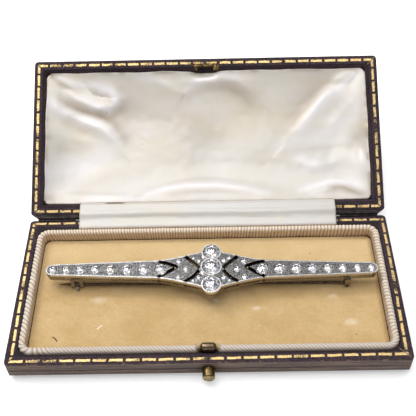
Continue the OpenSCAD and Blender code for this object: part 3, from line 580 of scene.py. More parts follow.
# Painted shadow: the velvet under the brooch is darkened brown as shade
painted_shadow_under_brooch = (1.0 - f.between(abs(y - 3.0), 0.7, 2.2)) * (1.0 - f.between(abs(x - BAR_X), 30.0, 38.0))
pile = f.mix(painted_shadow_under_brooch * 0.50, pile, (0.095, 0.058, 0.026))
fuzz = f.relief(tuft, 0.50, 0.00020)
fuzz = f.relief(brush + nap, 0.25, 0.0005, fuzz)
velvet = f.done(Base_Color=pile, Roughness=0.92, Normal=fuzz, Sheen_Weight=0.35, Sheen_Roughness=0.35,
                Sheen_Tint=(1.0, 0.90, 0.72), Specular_IOR_Level=0.15)

# %% An even skin
def skin_of(node, voxel):
    """An even skin round a node's solid, in millimetres."""
    shape = solid_of(node)
    mesh = bpy.data.meshes.new("skin")
    shape.to_mesh(mesh)
    obj = bpy.data.objects.new("skin", mesh)
    bpy.context.scene.collection.objects.link(obj)
    even = obj.modifiers.new("even", "REMESH")
    even.mode, even.voxel_size = "VOXEL", voxel
    shape.clear()
    shape.from_mesh(obj.evaluated_get(bpy.context.evaluated_depsgraph_get()).to_mesh())
    bpy.data.objects.remove(obj)
    print("skin of", node, "has", len(shape.verts), "corners")
    return shape


wad = skin_of("pad", 0.42)

# %% Pad
for _ in range(4):
    bmesh.ops.smooth_vert(wad, verts=wad.verts, factor=0.5,
                          use_axis_x=True, use_axis_y=True, use_axis_z=True)
wide = max(abs(v.co.x) for v in wad.verts)
deep = max(abs(v.co.y - PAD_MIDDLE) for v in wad.verts)
for v in wad.verts:
    # The velvet is pushed up against the cord all round, and is a little uneven
    v.co.x *= PAD_X / wide
    v.co.y = (v.co.y - PAD_MIDDLE) * PAD_Y / deep + PAD_MIDDLE
    if v.co.z > 2.4:
        inner = max(0.0, min(PAD_X - abs(v.co.x), PAD_Y - abs(v.co.y - PAD_MIDDLE)))
        lump = 0.05 * noise.noise(Vector((v.co.x * 0.12, v.co.y * 0.16, 3.1)))
        v.co.z += 0.85 * math.exp(-inner / 0.30) + 0.26 * math.exp(-inner / 1.3) - 0.06 + lump
print("pad reaches", round(wide, 2), round(deep, 2), "up to", round(max(v.co.z for v in wad.verts), 2))
pad = piece("velvet_pad", wad, "base", velvet)
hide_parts("pad")

# %% [markdown]
# ## The edge cord
# A thick cord of silk over cotton hides the edge of the velvet. It is glued all round and opens at
# the catch. Its strands are wound round, so a ripple runs round the cord as it goes along. A grid
# is rolled into a tube along the tray's edge, and the ripple is pressed into it.

# %% Route of the cord
CORD_W, CORD_H, CORD_Z, CORD_TURN = 1.8, 3.8, 5.4, 2.2
CORD_X, CORD_Y0, CORD_Y1, CORD_OPEN = 43.52, -18.02, 17.22, 2.5


def cord_way():
    """Straights and corners of the cord's middle line, from one side of the catch to the other."""
    r = CORD_TURN
    x, y0, y1 = CORD_X - r, CORD_Y0 + r, CORD_Y1 - r
    corners = [(x, y0, -90), (x, y1, 0), (-x, y1, 90), (-x, y0, 180)]
    points = [(CORD_OPEN, CORD_Y0, -90.0)]
    for cx, cy, start in corners:
        for i in range(19):
            a = start + 5.0 * i
            points.append((cx + r * math.cos(math.radians(a)), cy + r * math.sin(math.radians(a)), a))
    return points + [(-CORD_OPEN, CORD_Y0, 270.0)]


way = np.array(cord_way())
reach = np.concatenate([[0.0], np.cumsum(np.hypot(*np.diff(way[:, :2], axis=0).T))])
cord_length = float(reach[-1])
print("cord is", round(cord_length, 1), "mm long")

# %% Silk of the cord
f = Finish("silk_cord")
where = f.place()
x, y, z = f.split(where)
dust = f.cloud(where, 0.30, 4.0, 0.6)
thread = f.cloud(where, 5.0, 3.0, 0.65, seed=2.0)
# Painted light and shade: the back run of the cord is lighter and the front run darker
painted_light_at_back = f.between(y, 13.0, 17.0)
silk = f.mix(f.between(dust, 0.38, 0.68), (0.670, 0.565, 0.440), (0.580, 0.450, 0.310))
silk = f.mix((1.0 - f.between(y, -17.6, -15.0)) * 0.75, silk, (0.415, 0.368, 0.345))
silk = f.mix(painted_light_at_back * 0.65, silk, (0.870, 0.640, 0.430))
silk = f.mix(f.between(thread, 0.40, 0.70) * 0.40, silk, (0.450, 0.330, 0.215))
# Towards its foot the cord is darker brown, partly dust and partly painted shade where it meets the pad;
# stains lie low too
low = 1.0 - f.between(z + (thread - 0.5) * 1.6, 4.1, 5.5)
stain = f.between(f.cloud(where, 0.14, 3.0, 0.6, seed=6.0), 0.50, 0.64) * low
silk = f.mix(low * 0.50, silk, (0.380, 0.250, 0.130))
silk = f.mix(stain * 0.55, silk, (0.420, 0.200, 0.045))
# Painted light along the top of the cord
silk = f.mix(f.between(z + (thread - 0.5) * 0.6, 6.6, 7.2) * 0.45, silk, (0.900, 0.850, 0.780))
# Painted shade darkens the grooves between the strands; their depth comes with the cord's mesh
crease = f.node("ShaderNodeAttribute", {"attribute_name": "groove"}, out="Fac")
silk = f.mix(crease * 0.80, silk, (0.215, 0.130, 0.066))
cord_finish = f.done(Base_Color=silk, Roughness=0.85, Sheen_Weight=0.15, Sheen_Roughness=0.4,
                     Normal=f.relief(thread, 0.55, 0.00014), Specular_IOR_Level=0.15)

# %% Outline of the cord
SPAN = 34
# Half the foot, the outer flank, the top, the inner flank and the rest of the foot: the turn where
# each starts and its sweep in half turns, the lift where it starts and its rise in flanks
OUTLINE = [(-0.5, 0.5, -0.5, 0), (0, 0, -0.5, 1), (0, 1.0, 0.5, 0), (1.0, 0, 0.5, -1), (1.0, 0.5, -0.5, 0)]


def cord_section():
    """Places round the cord's outline, evenly spaced from its foot: turn in radians and lift in mm."""
    r, flank = CORD_W / 2, CORD_H - CORD_W
    whole = 2 * math.pi * r + 2 * flank
    made = []
    for i in range(SPAN + 1):
        p = whole * i / SPAN
        for turn0, sweep, lift0, climb in OUTLINE:
            part = sweep * math.pi * r + abs(climb) * flank
            if p <= part + 1e-9:
                share = p / part
                made.append(((turn0 + sweep * share) * math.pi, (lift0 + climb * share) * flank))
                break
            p -= part
    return made


section = cord_section()
print("cord's outline has", len(section), "places")

# %% Lay of the strands
# The strands lie differently on each side: distance from the catch, slant in strands per outline, and
# width of a strand in millimetres
front, side = 43.5, 33.0
LAY = np.array([
    (0, 9.0, 0.92), (front - 3, 9.0, 0.92), (front + 3, -1.0, 0.95), (front + side, -1.0, 0.95),
    (front + side + 40, -0.5, 0.74), (front * 3 + side - 6, 2.6, 0.74),
    (front * 3 + side + 3, -5.0, 1.15), (front * 3 + side * 2 - 1, -5.0, 1.15),
    (front * 3 + side * 2 + 6, 9.0, 0.92), (300, 9.0, 0.92)])
fine_s = np.linspace(0, 300, 3001)
strands = np.cumsum(0.1 / np.interp(fine_s, LAY[:, 0], LAY[:, 2]))
print("strands along the cord", round(float(np.interp(cord_length, fine_s, strands))))

# %% Wind the cord
# Depth of the grooves between the strands, in millimetres
GROOVE = 0.19
rope = rolled_grid(1800, SPAN)
depths = []
for v in rope.verts:
    s, around = v.co.x * cord_length, v.co.y
    angle, lift = section[round(around * SPAN)]
    heading = math.radians(np.interp(s, reach, way[:, 2]))
    out = Vector((math.cos(heading), math.sin(heading), 0.0))
    centre = Vector((np.interp(s, reach, way[:, 0]), np.interp(s, reach, way[:, 1]), CORD_Z))
    slant, turns = np.interp(s, LAY[:, 0], LAY[:, 1]), np.interp(s, fine_s, strands)
    jitter = 0.25 * noise.noise(Vector((s * 0.6, around * 3.0, 4.0)))
    groove = 1.0 - abs(math.sin(math.pi * (turns + slant * (around - 0.5) + jitter))) ** 0.8
    to_end = min(s, cord_length - s)
    close = math.sqrt(max(0.0, 1 - (1 - to_end / 0.7) ** 2)) if to_end < 0.7 else 1.0
    swell = 1.0 + 0.05 * noise.noise(Vector((s * 0.35, 1.7, 0.0)))
    r = (CORD_W / 2 - 0.03 - GROOVE * groove) * min(1.02, swell) * close
    v.co = centre + out * (r * math.cos(angle)) + Vector((0, 0, r * math.sin(angle) + lift * close))
    depths.append(groove)
layer = rope.verts.layers.float.new("groove")
for v, depth in zip(rope.verts, depths):
    v[layer] = depth
bmesh.ops.remove_doubles(rope, verts=rope.verts, dist=0.004)
print("cord has", len(rope.verts), "corners")

# %% Loose threads at the cord's cut ends
THREADS = 34
rng = random.Random(5)
for hand in (-1, 1):
    for k in range(THREADS):
        root = Vector((hand * 3.5, CORD_Y0 + rng.uniform(-0.5, 0.5), rng.uniform(4.4, 6.9)))
        tip_x, tip_y = hand * rng.uniform(2.25, 3.0), CORD_Y0 + rng.uniform(-0.45, 1.9)
        tip = Vector((tip_x, tip_y, rng.uniform(4.4, 7.3)))
        d = tip - root
        put = Matrix.Translation((root + tip) / 2) @ d.to_track_quat("Z", "Y").to_matrix().to_4x4()
        bmesh.ops.create_cone(rope, segments=5, radius1=0.14, radius2=0.035, depth=d.length, matrix=put,
                              cap_ends=True)
bmesh.ops.recalc_face_normals(rope, faces=rope.faces)
cord = piece("silk_edge_cord", rope, "base", cord_finish)
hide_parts("edge_cord")

# %% [markdown]
# ## Satin in the lid
# A piece of satin is glued in round its edge, a little loose, so it puffs and falls into folds that
# run from the corners. A cloth simulation would fold it somewhere else, so the folds of this very
# lining are listed one by one: each is a line with a height and a soft width on either side. Two more
# tables of lines hold painted tan shadows beside the folds and painted highlights along them. A grid
# is draped over the folds and carries the painted shade and highlights as attributes.

# %% Satin finish
def satin(name, shut):
    """Old silk satin: shut is True for the lid's lining and False for the ribbon."""
    f = Finish(name)
    where = f.place(shut)
    x, y, _ = f.split(where)
    age = f.cloud(f.stretch(where, (0.6, 1.0, 1.0)), 0.085, 4.0, 0.6)
    warp = f.cloud(f.stretch(where, (9.0, 0.5, 1.0)), 1.0, 2.0, 0.6, seed=1.0)
    weft = f.cloud(f.stretch(where, (0.4, 7.0, 1.0)), 1.0, 2.0, 0.6, seed=2.0)
    # The ribbon is the same satin as the lining, painted darker as shade
    plain = (0.670, 0.635, 0.580) if shut else (0.545, 0.522, 0.495)
    silk = f.mix(f.between(age, 0.40, 0.68), plain, (0.650, 0.585, 0.470) if shut else (0.560, 0.515, 0.440))
    if shut:
        # Painted shade: the lining is greyer towards the hinge
        silk = f.mix(f.between(y, -2.0, 12.0) * 0.45, silk, (0.485, 0.462, 0.440))
    # Painted tan shade in the hollows, with some dust along the edge, and painted highlights on the ridges;
    # both come with the lining's mesh
    hollow = f.node("ShaderNodeAttribute", {"attribute_name": "hollow"}, out="Fac")
    silk = f.mix(hollow.least(1.25) * 0.80, silk, (0.315, 0.243, 0.168))
    ridge = f.node("ShaderNodeAttribute", {"attribute_name": "ridge"}, out="Fac")
    silk = f.mix(ridge.least(1.0) * 0.88, silk, (0.850, 0.825, 0.865))
    silk = f.mix(f.between(warp, 0.45, 0.75) * 0.10, silk, (0.540, 0.480, 0.390))
    fade = f.between(f.cloud(where, 0.20, 3.0, 0.7, seed=7.0), 0.58, 0.78)
    silk = f.mix(fade * 0.35, silk, (0.700, 0.575, 0.370))
    spot = 1.0 - f.between(f.cells(where, 0.13), 0.016, 0.040)
    silk = f.mix(spot * 0.65, silk, (0.300, 0.170, 0.060))
    if not shut:
        # A brown line of old glue at the lid's end, with one burnt patch, and another by the cord
        along = f.node("ShaderNodeAttribute", {"attribute_name": "along"}, out="Fac")
        at_lid = f.between(along + (weft - 0.5) * 0.05, 0.90, 0.945)
        at_cord = 1.0 - f.between(along + (weft - 0.5) * 0.04, 0.17, 0.215)
        glue = (at_lid + at_cord) * f.between(weft + age, 0.62, 1.05)
        silk = f.mix(glue * 0.90, silk, (0.240, 0.130, 0.045))
        from_burn = abs(x + 24.6) + (warp - 0.5) * 1.5
        burnt = f.between(along, 0.82, 0.87) * (1.0 - f.between(from_burn, 1.6, 3.4))
        silk = f.mix(burnt * 0.95, silk, (0.080, 0.038, 0.016))
    weave = f.relief(warp, 0.16, 0.00006)
    weave = f.relief(weft, 0.12, 0.00006, weave)
    return f.done(Base_Color=silk, Roughness=f.between(warp, 0.0, 1.0) * 0.08 + 0.27, Normal=weave,
                  Anisotropic=0.55, Sheen_Weight=0.06, Sheen_Roughness=0.30, Specular_IOR_Level=0.85)


lid_satin = satin("ivory_satin", True)
ribbon_satin = satin("ribbon_satin", False)

# %% Folds of the lining
# Each fold: points along its top line in millimetres on the shut lid, where -y is the front, then its
# height, its width to the left of the line and its width to the right
FOLDS = [
    ([(-43.0, -18.2), (-39.9, -14.9), (-35.5, -11.2), (-29.9, -8.9), (-26.4, -9.5), (-24.4, -11.4),
      (-26.1, -13.8), (-29.3, -15.2)], 1.2, 1.4, 3.0),
    ([(-43.4, -11.0), (-38.6, -7.6), (-33.6, -5.0), (-29.2, -3.4), (-25.6, -0.4), (-23.4, 3.0)],
     1.2, 1.6, 3.4),
    ([(-43.0, -2.6), (-37.5, -0.6), (-32.0, 0.6), (-27.0, 3.0)], 0.5, 2.0, 3.0),
    ([(-5.4, -13.0), (-3.8, -15.2), (-0.6, -16.4), (4.0, -17.2), (8.4, -16.4), (11.4, -14.4),
      (14.4, -11.0)], 0.9, 1.6, 2.8),
    ([(-13.0, -16.2), (-9.0, -13.6), (-5.8, -12.4)], 0.5, 1.5, 1.8),
    ([(42.0, -18.0), (38.2, -15.4), (33.4, -11.4), (29.4, -7.2), (26.0, -3.0), (22.4, 1.0)], 1.5, 1.7, 4.2),
    ([(43.2, -13.4), (39.0, -8.6), (35.4, -4.0), (32.6, 0.8)], 0.7, 2.4, 2.4),
    ([(24.6, 6.2), (28.6, 8.0), (33.8, 7.8), (40.0, 5.2)], 0.5, 1.8, 2.6),
    ([(30.0, 16.0), (34.6, 13.8), (38.0, 14.2), (42.6, 17.0)], 0.9, 1.6, 1.5),
    ([(-16.0, 15.6), (-11.0, 14.2), (-5.2, 13.4), (2.0, 13.2), (10.0, 14.4), (18.0, 16.2)], 0.7, 2.4, 1.5),
    ([(-34.0, 14.0), (-25.0, 10.0), (-16.0, 6.6)], 0.4, 2.6, 2.6),
    ([(-42.0, 15.4), (-33.0, 16.4), (-22.0, 16.4)], 0.4, 1.6, 1.2),
]
print("folds", len(FOLDS))

# %% Shadows and lights of the lining
# Painted tan shadows that lie beside the folds: line, strength, width, width
SHADES = [
    ([(-42.0, -17.6), (-38.4, -14.7), (-34.9, -13.2)], 0.60, 0.6, 0.6),
    ([(-40.0, -10.8), (-35.0, -8.2), (-30.0, -7.0), (-25.6, -4.6), (-23.1, -1.1), (-22.0, 1.8)],
     1.00, 1.0, 1.5),
    ([(-26.0, -9.0), (-23.0, -7.4), (-20.5, -3.0)], 0.45, 3.0, 3.0),
    ([(-24.0, -12.0), (-16.0, -7.0), (-8.0, -4.4), (3.0, -3.6), (14.0, -5.0), (20.0, -8.0)], 0.42, 5.0, 4.4),
    ([(34.4, -14.6), (30.6, -10.8), (26.4, -6.4), (22.6, -2.4), (19.4, 0.6)], 0.85, 3.4, 0.9),
    ([(1.0, -14.0), (6.0, -14.0), (10.4, -12.0), (13.0, -8.0)], 0.55, 1.4, 2.0),
    ([(-4.6, -18.0), (-1.0, -17.8), (3.0, -18.0)], 0.70, 0.7, 0.7),
    ([(-9.9, 15.9), (-2.7, 15.1), (4.4, 15.1), (12.3, 15.9)], 0.60, 0.8, 1.1),
    ([(33.4, 14.5), (36.6, 14.8), (39.4, 16.1), (42.0, 17.1)], 1.30, 0.9, 0.9),
    ([(-43.2, 16.4), (-40.6, 17.4)], 0.80, 1.1, 1.1),
    ([(-43.6, -1.6), (-42.6, 0.6)], 0.50, 1.0, 1.0),
    ([(-41.0, 2.8), (-36.0, 2.4), (-33.0, 2.8)], 0.34, 1.2, 1.2),
    ([(21.6, 3.9), (31.6, 3.2), (40.1, 2.5)], 0.30, 0.8, 0.8),
    ([(-34.0, 13.4), (-26.0, 9.8), (-19.9, 7.0)], 0.26, 1.4, 1.4),
    ([(43.0, -14.0), (42.4, -6.0), (42.6, 4.0)], 0.34, 0.8, 1.0),
    ([(-43.2, -18.0), (-41.8, -17.2)], 0.90, 0.6, 0.6),
    ([(40.6, -18.0), (42.2, -17.2)], 0.90, 0.5, 0.5),
]
# Painted highlights along the folds, where the silk would catch the light: line, strength, width, width
LIGHTS = [
    ([(-40.2, -17.3), (-36.3, -15.4), (-30.6, -15.2), (-26.3, -13.6), (-24.5, -10.7), (-27.0, -8.6),
      (-31.6, -9.7), (-36.3, -12.3), (-39.4, -14.6)], 0.85, 0.8, 0.8),
    ([(-43.2, -10.2), (-39.1, -7.4), (-32.7, -5.2), (-27.9, -2.8), (-25.0, 0.8)], 0.85, 1.1, 1.3),
    ([(-5.6, -13.4), (-3.4, -14.7), (-0.6, -16.1), (3.7, -17.0), (8.7, -16.2), (12.3, -13.9)],
     0.70, 0.8, 0.8),
    ([(-18.4, -17.2), (-12.7, -16.1), (-8.4, -14.7)], 0.50, 1.0, 1.0),
    ([(41.2, -17.4), (36.6, -13.6), (32.6, -10.8), (28.7, -6.4), (25.4, -2.0), (23.0, 1.2)], 0.95, 0.4, 1.3),
    ([(-16.3, 15.3), (-11.3, 13.9), (-5.6, 13.2), (3.0, 13.2), (10.1, 14.4), (17.3, 16.1)], 0.75, 0.8, 0.8),
    ([(25.1, 15.3), (30.1, 13.9), (34.4, 12.8), (38.7, 13.4), (42.0, 15.0)], 0.75, 0.8, 0.8),
    ([(25.1, 6.4), (28.7, 7.8), (32.3, 9.6)], 0.60, 1.2, 1.2),
    ([(27.3, 1.1), (33.0, -0.6), (38.7, -4.6), (41.6, -8.9)], 0.45, 2.4, 2.4),
    ([(-42.7, 9.6), (-36.3, 8.2), (-29.9, 5.3), (-24.0, 3.4)], 0.45, 2.2, 2.2),
    ([(-33.0, 17.2), (-25.6, 16.9), (-17.0, 17.0)], 0.50, 0.9, 0.9),
    ([(-10.0, -10.4), (0.0, -8.4), (8.0, -8.8)], 0.25, 2.2, 2.2),
]
print("shadows", len(SHADES), "lights", len(LIGHTS))


# %% Sum of a table of lines
def field(lines, px, py):
    """Height of all lines of a table together at each point, from arrays of x and y."""
    total = np.zeros_like(px)
    for line, tall, left, right in lines:
        line = np.array(line)
        lengths = np.hypot(*np.diff(line, axis=0).T)
        along = np.concatenate([[0.0], np.cumsum(lengths)]) / lengths.sum()
        near, signed, where = np.full_like(px, 1e9), np.zeros_like(px), np.zeros_like(px)
        for a, b, t0, t1 in zip(line[:-1], line[1:], along[:-1], along[1:]):
            d = b - a
            t = np.clip(((px - a[0]) * d[0] + (py - a[1]) * d[1]) / (d @ d), 0, 1)
            qx, qy = px - a[0] - t * d[0], py - a[1] - t * d[1]
            far = np.hypot(qx, qy)
            closer = far < near
            near = np.where(closer, far, near)
            signed = np.where(closer, np.sign(d[0] * qy - d[1] * qx), signed)
            where = np.where(closer, t0 + t * (t1 - t0), where)
        width = 1.2 * np.where(signed > 0, left, right)
        # Each line fades out at both ends
        ends = np.sin(np.pi * np.clip(where * 0.86 + 0.12, 0, 1)) ** 0.6
        total += tall * ends * np.exp(-((near / width) ** 1.6))
    return total


on_fold = field(FOLDS, np.array([-30.0]), np.array([-9.0]))
print("the fold at the left is", round(float(on_fold[0]), 2), "mm high")


# %% Room that the brooch needs when the lid is shut
SATIN_X, SATIN_Y = HALF_W - LID_WALL - 0.06, HALF_D - LID_WALL - 0.06
tops = {n: max((nodes[n].matrix_world @ Vector(c)).z for c in nodes[n].bound_box) * 1000
        for n in nodes if "_stone_" in n}
brooch_top = max(tops.values())
arm_top = max(t for n, t in tops.items() if "row" in n)
print("highest stone", round(brooch_top, 2), "and on the arms", round(arm_top, 2))


# %% Depth of the satin
EDGE_DEEP, BOWL_DEEP = 0.92, 3.6
SLOPE_SIDE, SLOPE_FRONT, SLOPE_BACK = 11.0, 14.0, 12.0


def satin_depth(px, py):
    """Depth of the satin below the lid's rim at each point."""
    rim = np.minimum(SATIN_X - np.abs(px), SATIN_Y - np.abs(py))
    to_x = 1 - np.clip((SATIN_X - np.abs(px)) / SLOPE_SIDE, 0, 1)
    to_y = 1 - np.clip((SATIN_Y - np.abs(py)) / np.where(py < 0, SLOPE_FRONT, SLOPE_BACK), 0, 1)
    bowl = EDGE_DEEP + 0.9 * np.minimum(rim, 0) + BOWL_DEEP * (1 - to_x ** 2) * (1 - to_y ** 2)
    # Dents where the middle of the brooch, the ends of the bar and the catch lug reach in when shut
    bowl += 0.75 * np.exp(-(((px - BAR_X) / 5.5) ** 2) - ((py - 4.2) / 8.0) ** 2)
    end = np.abs(px - BAR_X) - ARM
    bowl += (0.85 * (px > 0) + 0.36) * np.exp(-(((py - BAR_Y) / 4.2) ** 2) - (end / 2.8) ** 2) * (rim > 0)
    bowl += 1.35 * np.exp(-((px / 3.4) ** 4) - (np.maximum(py + SATIN_Y, 0) / 1.8) ** 2) * (py < 0)
    # The folds are lower over the bar
    over = 1 - 0.55 * np.exp(-(((py - BAR_Y) / 4.2) ** 2))
    raised = bowl - field(FOLDS, px, py) * over * (0.15 + 0.85 * np.clip(rim / 2.6, 0, 1))
    # It is at least this deep everywhere, with a soft step where a fold would rise above that
    least = 0.55 + 0.30 * np.clip(rim, -0.6, 4.0)
    return 0.5 * (raised + least + np.sqrt((raised - least) ** 2 + 0.36))


print("satin is", round(float(satin_depth(np.array([0.0]), np.array([0.0]))[0]), 2), "mm deep in the middle")

# %% Outline of the satin
cloth = rolled_grid(250, 112)
flat = np.array([v.co for v in cloth.verts])
px, py = (2 * flat[:, 0] - 1) * SATIN_X, (2 * flat[:, 1] - 1) * SATIN_Y
# Rounded corners, and an edge that wavers over the chamfer of the leather
CORNER = 1.1
in_x = np.clip((np.abs(px) - SATIN_X + CORNER) / CORNER, 0, 1)
in_y = np.clip((np.abs(py) - SATIN_Y + CORNER) / CORNER, 0, 1)
px -= np.sign(px) * CORNER * (in_x - in_x * np.sqrt(1 - in_y * in_y / 2))
py -= np.sign(py) * CORNER * (in_y - in_y * np.sqrt(1 - in_x * in_x / 2))
waver = np.array([[noise.noise(Vector((a * 0.13, b * 0.5, 1.0))),
                   noise.noise(Vector((a * 0.5, b * 0.13, 8.0)))] for a, b in zip(px, py)])
away_x, away_y = SATIN_X - np.abs(px), SATIN_Y - np.abs(py)
plain = np.clip(np.abs(px) / 5.0 - 0.6, 0, 1)
out_x = np.clip(0.18 + 0.40 * waver[:, 1], 0, 0.35) * np.exp(-away_x / 1.5) * (away_y > 1.0)
out_y = np.clip(0.16 + 0.25 * waver[:, 0], 0, 0.30) * np.exp(-away_y / 1.5) * (away_x > 1.0)
px += np.sign(px) * out_x
py += np.sign(py) * out_y * plain * (py < 0)
print("satin's edge wavers by up to", round(float(max(out_x.max(), out_y.max())), 2), "mm")

# %% Shade of the satin
def smooth(t):
    """A soft step from 0 to 1."""
    t = np.clip(t, 0, 1)
    return t * t * (3 - 2 * t)


deep = satin_depth(px, py)
# Painted shade in the hollows between the folds: places that lie deeper than those round them
far = 2.2
around = [satin_depth(px + a * far, py + b * far) - deep for a, b in ((1, 0), (-1, 0), (0, 1), (0, -1))]
from_edge = np.minimum(SATIN_X - np.abs(px), SATIN_Y - np.abs(py))
inner = smooth((from_edge - 1.0) / 2.5)
hollow = np.clip(-sum(around) / 4 * 1.2 - 0.10, 0, 0.5) * inner + field(SHADES, px, py)
# Along the glued edge the satin is darker: partly brown dust, partly painted shade under the leather's rim
dust_and_edge_shade = np.clip(0.45 + 1.4 * waver[:, 0] + 1.0 * waver[:, 1], 0, 1)
hollow += np.exp(-np.maximum(from_edge, 0) / 0.35) * dust_and_edge_shade
ridge = field(LIGHTS, px, py)
print("hollows cover", round(float((hollow > 0.3).mean()) * 100), "% of the satin")

# %% Drape the lining
shade = cloth.verts.layers.float.new("hollow")
light = cloth.verts.layers.float.new("ridge")
for v, x0, y0, d, h, g in zip(cloth.verts, px, py, deep, hollow, ridge):
    v[light] = g
    ripple = 0.05 * noise.noise(Vector((x0 * 0.45, y0 * 0.45, 0.7)))
    v.co = TO_OPEN @ Vector((x0, y0, HINGE.z + max(0.45, d + ripple)))
    v[shade] = h
# Room over the bar, within an outline a little wider than its own
along_bar = np.abs(px - BAR_X)
over_bar = np.abs(py - BAR_Y) < 3.6 - 1.7 * along_bar / ARM + 3.4 * np.clip(1 - along_bar / 13.5, 0, 1)
over_bar &= along_bar < ARM
ceiling = deep + HINGE.z
print("room over the brooch's arms", round(float(ceiling[over_bar & (np.abs(px) > 4)].min()) - arm_top, 2))
print("room over its middle", round(float(ceiling[over_bar & (np.abs(px) <= 4)].min()) - brooch_top, 2))
bmesh.ops.reverse_faces(cloth, faces=cloth.faces)
lining_area = sum(g.calc_area() for g in cloth.faces)
print("lining has", round(lining_area), "square millimetres of satin")
lining = piece("satin_lid_lining", cloth, "lid", lid_satin)
thicken(lining)
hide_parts("lid_lining")
# The flat width is a guess, and the length follows from it and the silk's area, in metres
lining_area * 1e-6 / 0.0970

# %% [markdown]
# ## The ribbon over the hinge
# A strip of the same satin hides the hinge. It is glued to both rims and bends as the lid moves;
# here it is laid once, as it lies with the lid open, and rides on neither body.

# %% Ribbon's side view
RIBBON_W = 67.6


def on_lid(along, out):
    """A point of the ribbon's side view: along the open lid's rim from the hinge, and out from it."""
    a = math.pi - OPEN
    y0 = HINGE.y + along * math.cos(a) - out * math.sin(a)
    return y0, HINGE.z + along * math.sin(a) + out * math.cos(a)


side_view = [(HALF_D - LAND_BACK - 0.04, 4.60), (HALF_D - LAND_BACK - 0.02, 6.20), (HALF_D - 2.9, 6.85),
             (HALF_D - 2.2, 7.05), (HALF_D - 1.1, 7.35), on_lid(-0.45, 1.55), on_lid(0.55, 1.62),
             on_lid(1.6, 1.15), on_lid(2.6, 0.95), on_lid(3.3, 0.75), on_lid(3.95, -0.25),
             on_lid(4.25, -1.05)]
side_view = np.array(side_view)
steps = np.concatenate([[0.0], np.cumsum(np.hypot(*np.diff(side_view, axis=0).T))])
ribbon_length = float(steps[-1])
print("ribbon is", round(ribbon_length, 2), "mm long from end to end")

# %% Ribbon
strip = rolled_grid(150, 56)
far_along = strip.verts.layers.float.new("along")
smooth_way = np.linspace(0, ribbon_length, 61)
kernel = np.hanning(9) / np.hanning(9).sum()
bent = [np.interp(smooth_way, steps, side_view[:, i]) for i in range(2)]
bent = [np.convolve(np.pad(c, 4, mode="edge"), kernel, "valid") for c in bent]
for v in strip.verts:
    t = v.co.y
    s, x0 = t * ribbon_length, (v.co.x - 0.5) * RIBBON_W
    y0, z0 = [float(np.interp(s, smooth_way, c)) for c in bent]
    drift = 0.03 * noise.noise(Vector((x0 * 0.05, 1.0, 2.0)))
    wave = 0.10 * noise.noise(Vector((x0 * 0.06, s * 0.5, 2.0)))
    wave += 0.04 * noise.noise(Vector((x0 * 0.3, s * 0.8, 5.0)))
    # A soft fold runs along the ribbon where the lid bends it most
    fold, dip = ((t - 0.62 - drift) / 0.06) ** 2, ((t - 0.48 - drift) / 0.07) ** 2
    wave += 0.12 * math.exp(-fold) - 0.13 * math.exp(-dip)
    v.co = Vector((x0, y0, z0 + wave * math.sin(math.pi * t)))
    v[far_along] = t
ribbon_area = sum(g.calc_area() for g in strip.faces)
ribbon = piece("satin_hinge_ribbon", strip, None, ribbon_satin)
thicken(ribbon)
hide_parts("hinge_ribbon")
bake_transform(ribbon)
ribbon_area * 1e-6 / 0.0676

# %% [markdown]
# ## The brooch's face
# The bar's finish needs to know where its slits and its edge lie, and the grains have to miss them and
# the stones. So the outline of the face comes first. These are the sizes of the frame's bar, and its
# slits are curved strips.

# %% Shape of the bar's face
MIDDLE_HALF, TAPER = 3.15, 1.55
FLARE_REACH, FLARE_RISE, FLARE_POWER = 13.5, 2.95, 1.4


def half_at(x0):
    """Half width of the bar at a distance from its middle."""
    x0 = abs(x0)
    return MIDDLE_HALF - TAPER * x0 / ARM + FLARE_RISE * max(0.0, 1 - x0 / FLARE_REACH) ** FLARE_POWER


print("bar's width in the middle", round(2 * half_at(0.0), 1), "and at its ends", round(2 * half_at(ARM), 1))

# %% Places of the stones
ROW_N, ROW_START, ROW_GAP, ROW_LARGE, ROW_SMALL = 8, 12.5, 1.15, 3.2, 2.15
row_d = [ROW_LARGE + (ROW_SMALL - ROW_LARGE) * i / (ROW_N - 1) for i in range(ROW_N)]
row_x = [ROW_START]
for i in range(1, ROW_N):
    row_x.append(row_x[-1] + (row_d[i - 1] + row_d[i]) / 2 + ROW_GAP)
spots = [(s * x0, 0.0, d) for s in (-1, 1) for x0, d in zip(row_x, row_d)]
# The flare's stones: along its reach and across its half width as shares, and diameter
shares = [(0.60, 0.66, 1.7), (0.47, 0.0, 1.7), (0.60, -0.66, 1.7), (0.228, 0.50, 1.3), (0.330, 0.73, 1.0),
          (0.228, -0.50, 1.3), (0.330, -0.73, 1.0)]
spots += [(s * a * FLARE_REACH, b * half_at(a * FLARE_REACH), d) for s in (-1, 1) for a, b, d in shares]
collets = [(0.0, 0.0, 5.2), (0.0, 4.905, 4.85), (0.0, -4.905, 4.85)]
print("stones in collets", len(collets), "and in grains", len(spots))

# %% Slits
# From and to as shares of the flare, and how far the slit bows out, in millimetres
slits = [((0.232, 0.10), (0.470, 0.88), 0.10), ((0.232, -0.10), (0.470, -0.88), -0.35),
         ((0.635, 0.20), (0.955, 0.82), 0.22), ((0.635, 0.20), (0.955, -0.84), -0.12)]


def in_bar(place):
    """A place in millimetres from its shares of the flare."""
    return Vector((place[0] * FLARE_REACH, place[1] * half_at(place[0] * FLARE_REACH)))


SLIT_LINES = [(in_bar(a), in_bar(b), bow) for a, b, bow in slits]


def free_of_slits(x0, y0, room):
    """Whether a place is at least room away from every slit."""
    for a, b, bow in SLIT_LINES:
        d = b - a
        for k in range(9):
            t = k / 8
            p = a + d * t + Vector((-d.y, d.x)) / d.length * (bow * 4 * t * (1 - t))
            if (Vector((abs(x0), y0)) - p).length < room:
                return False
    return True


print("slits", 2 * len(slits))
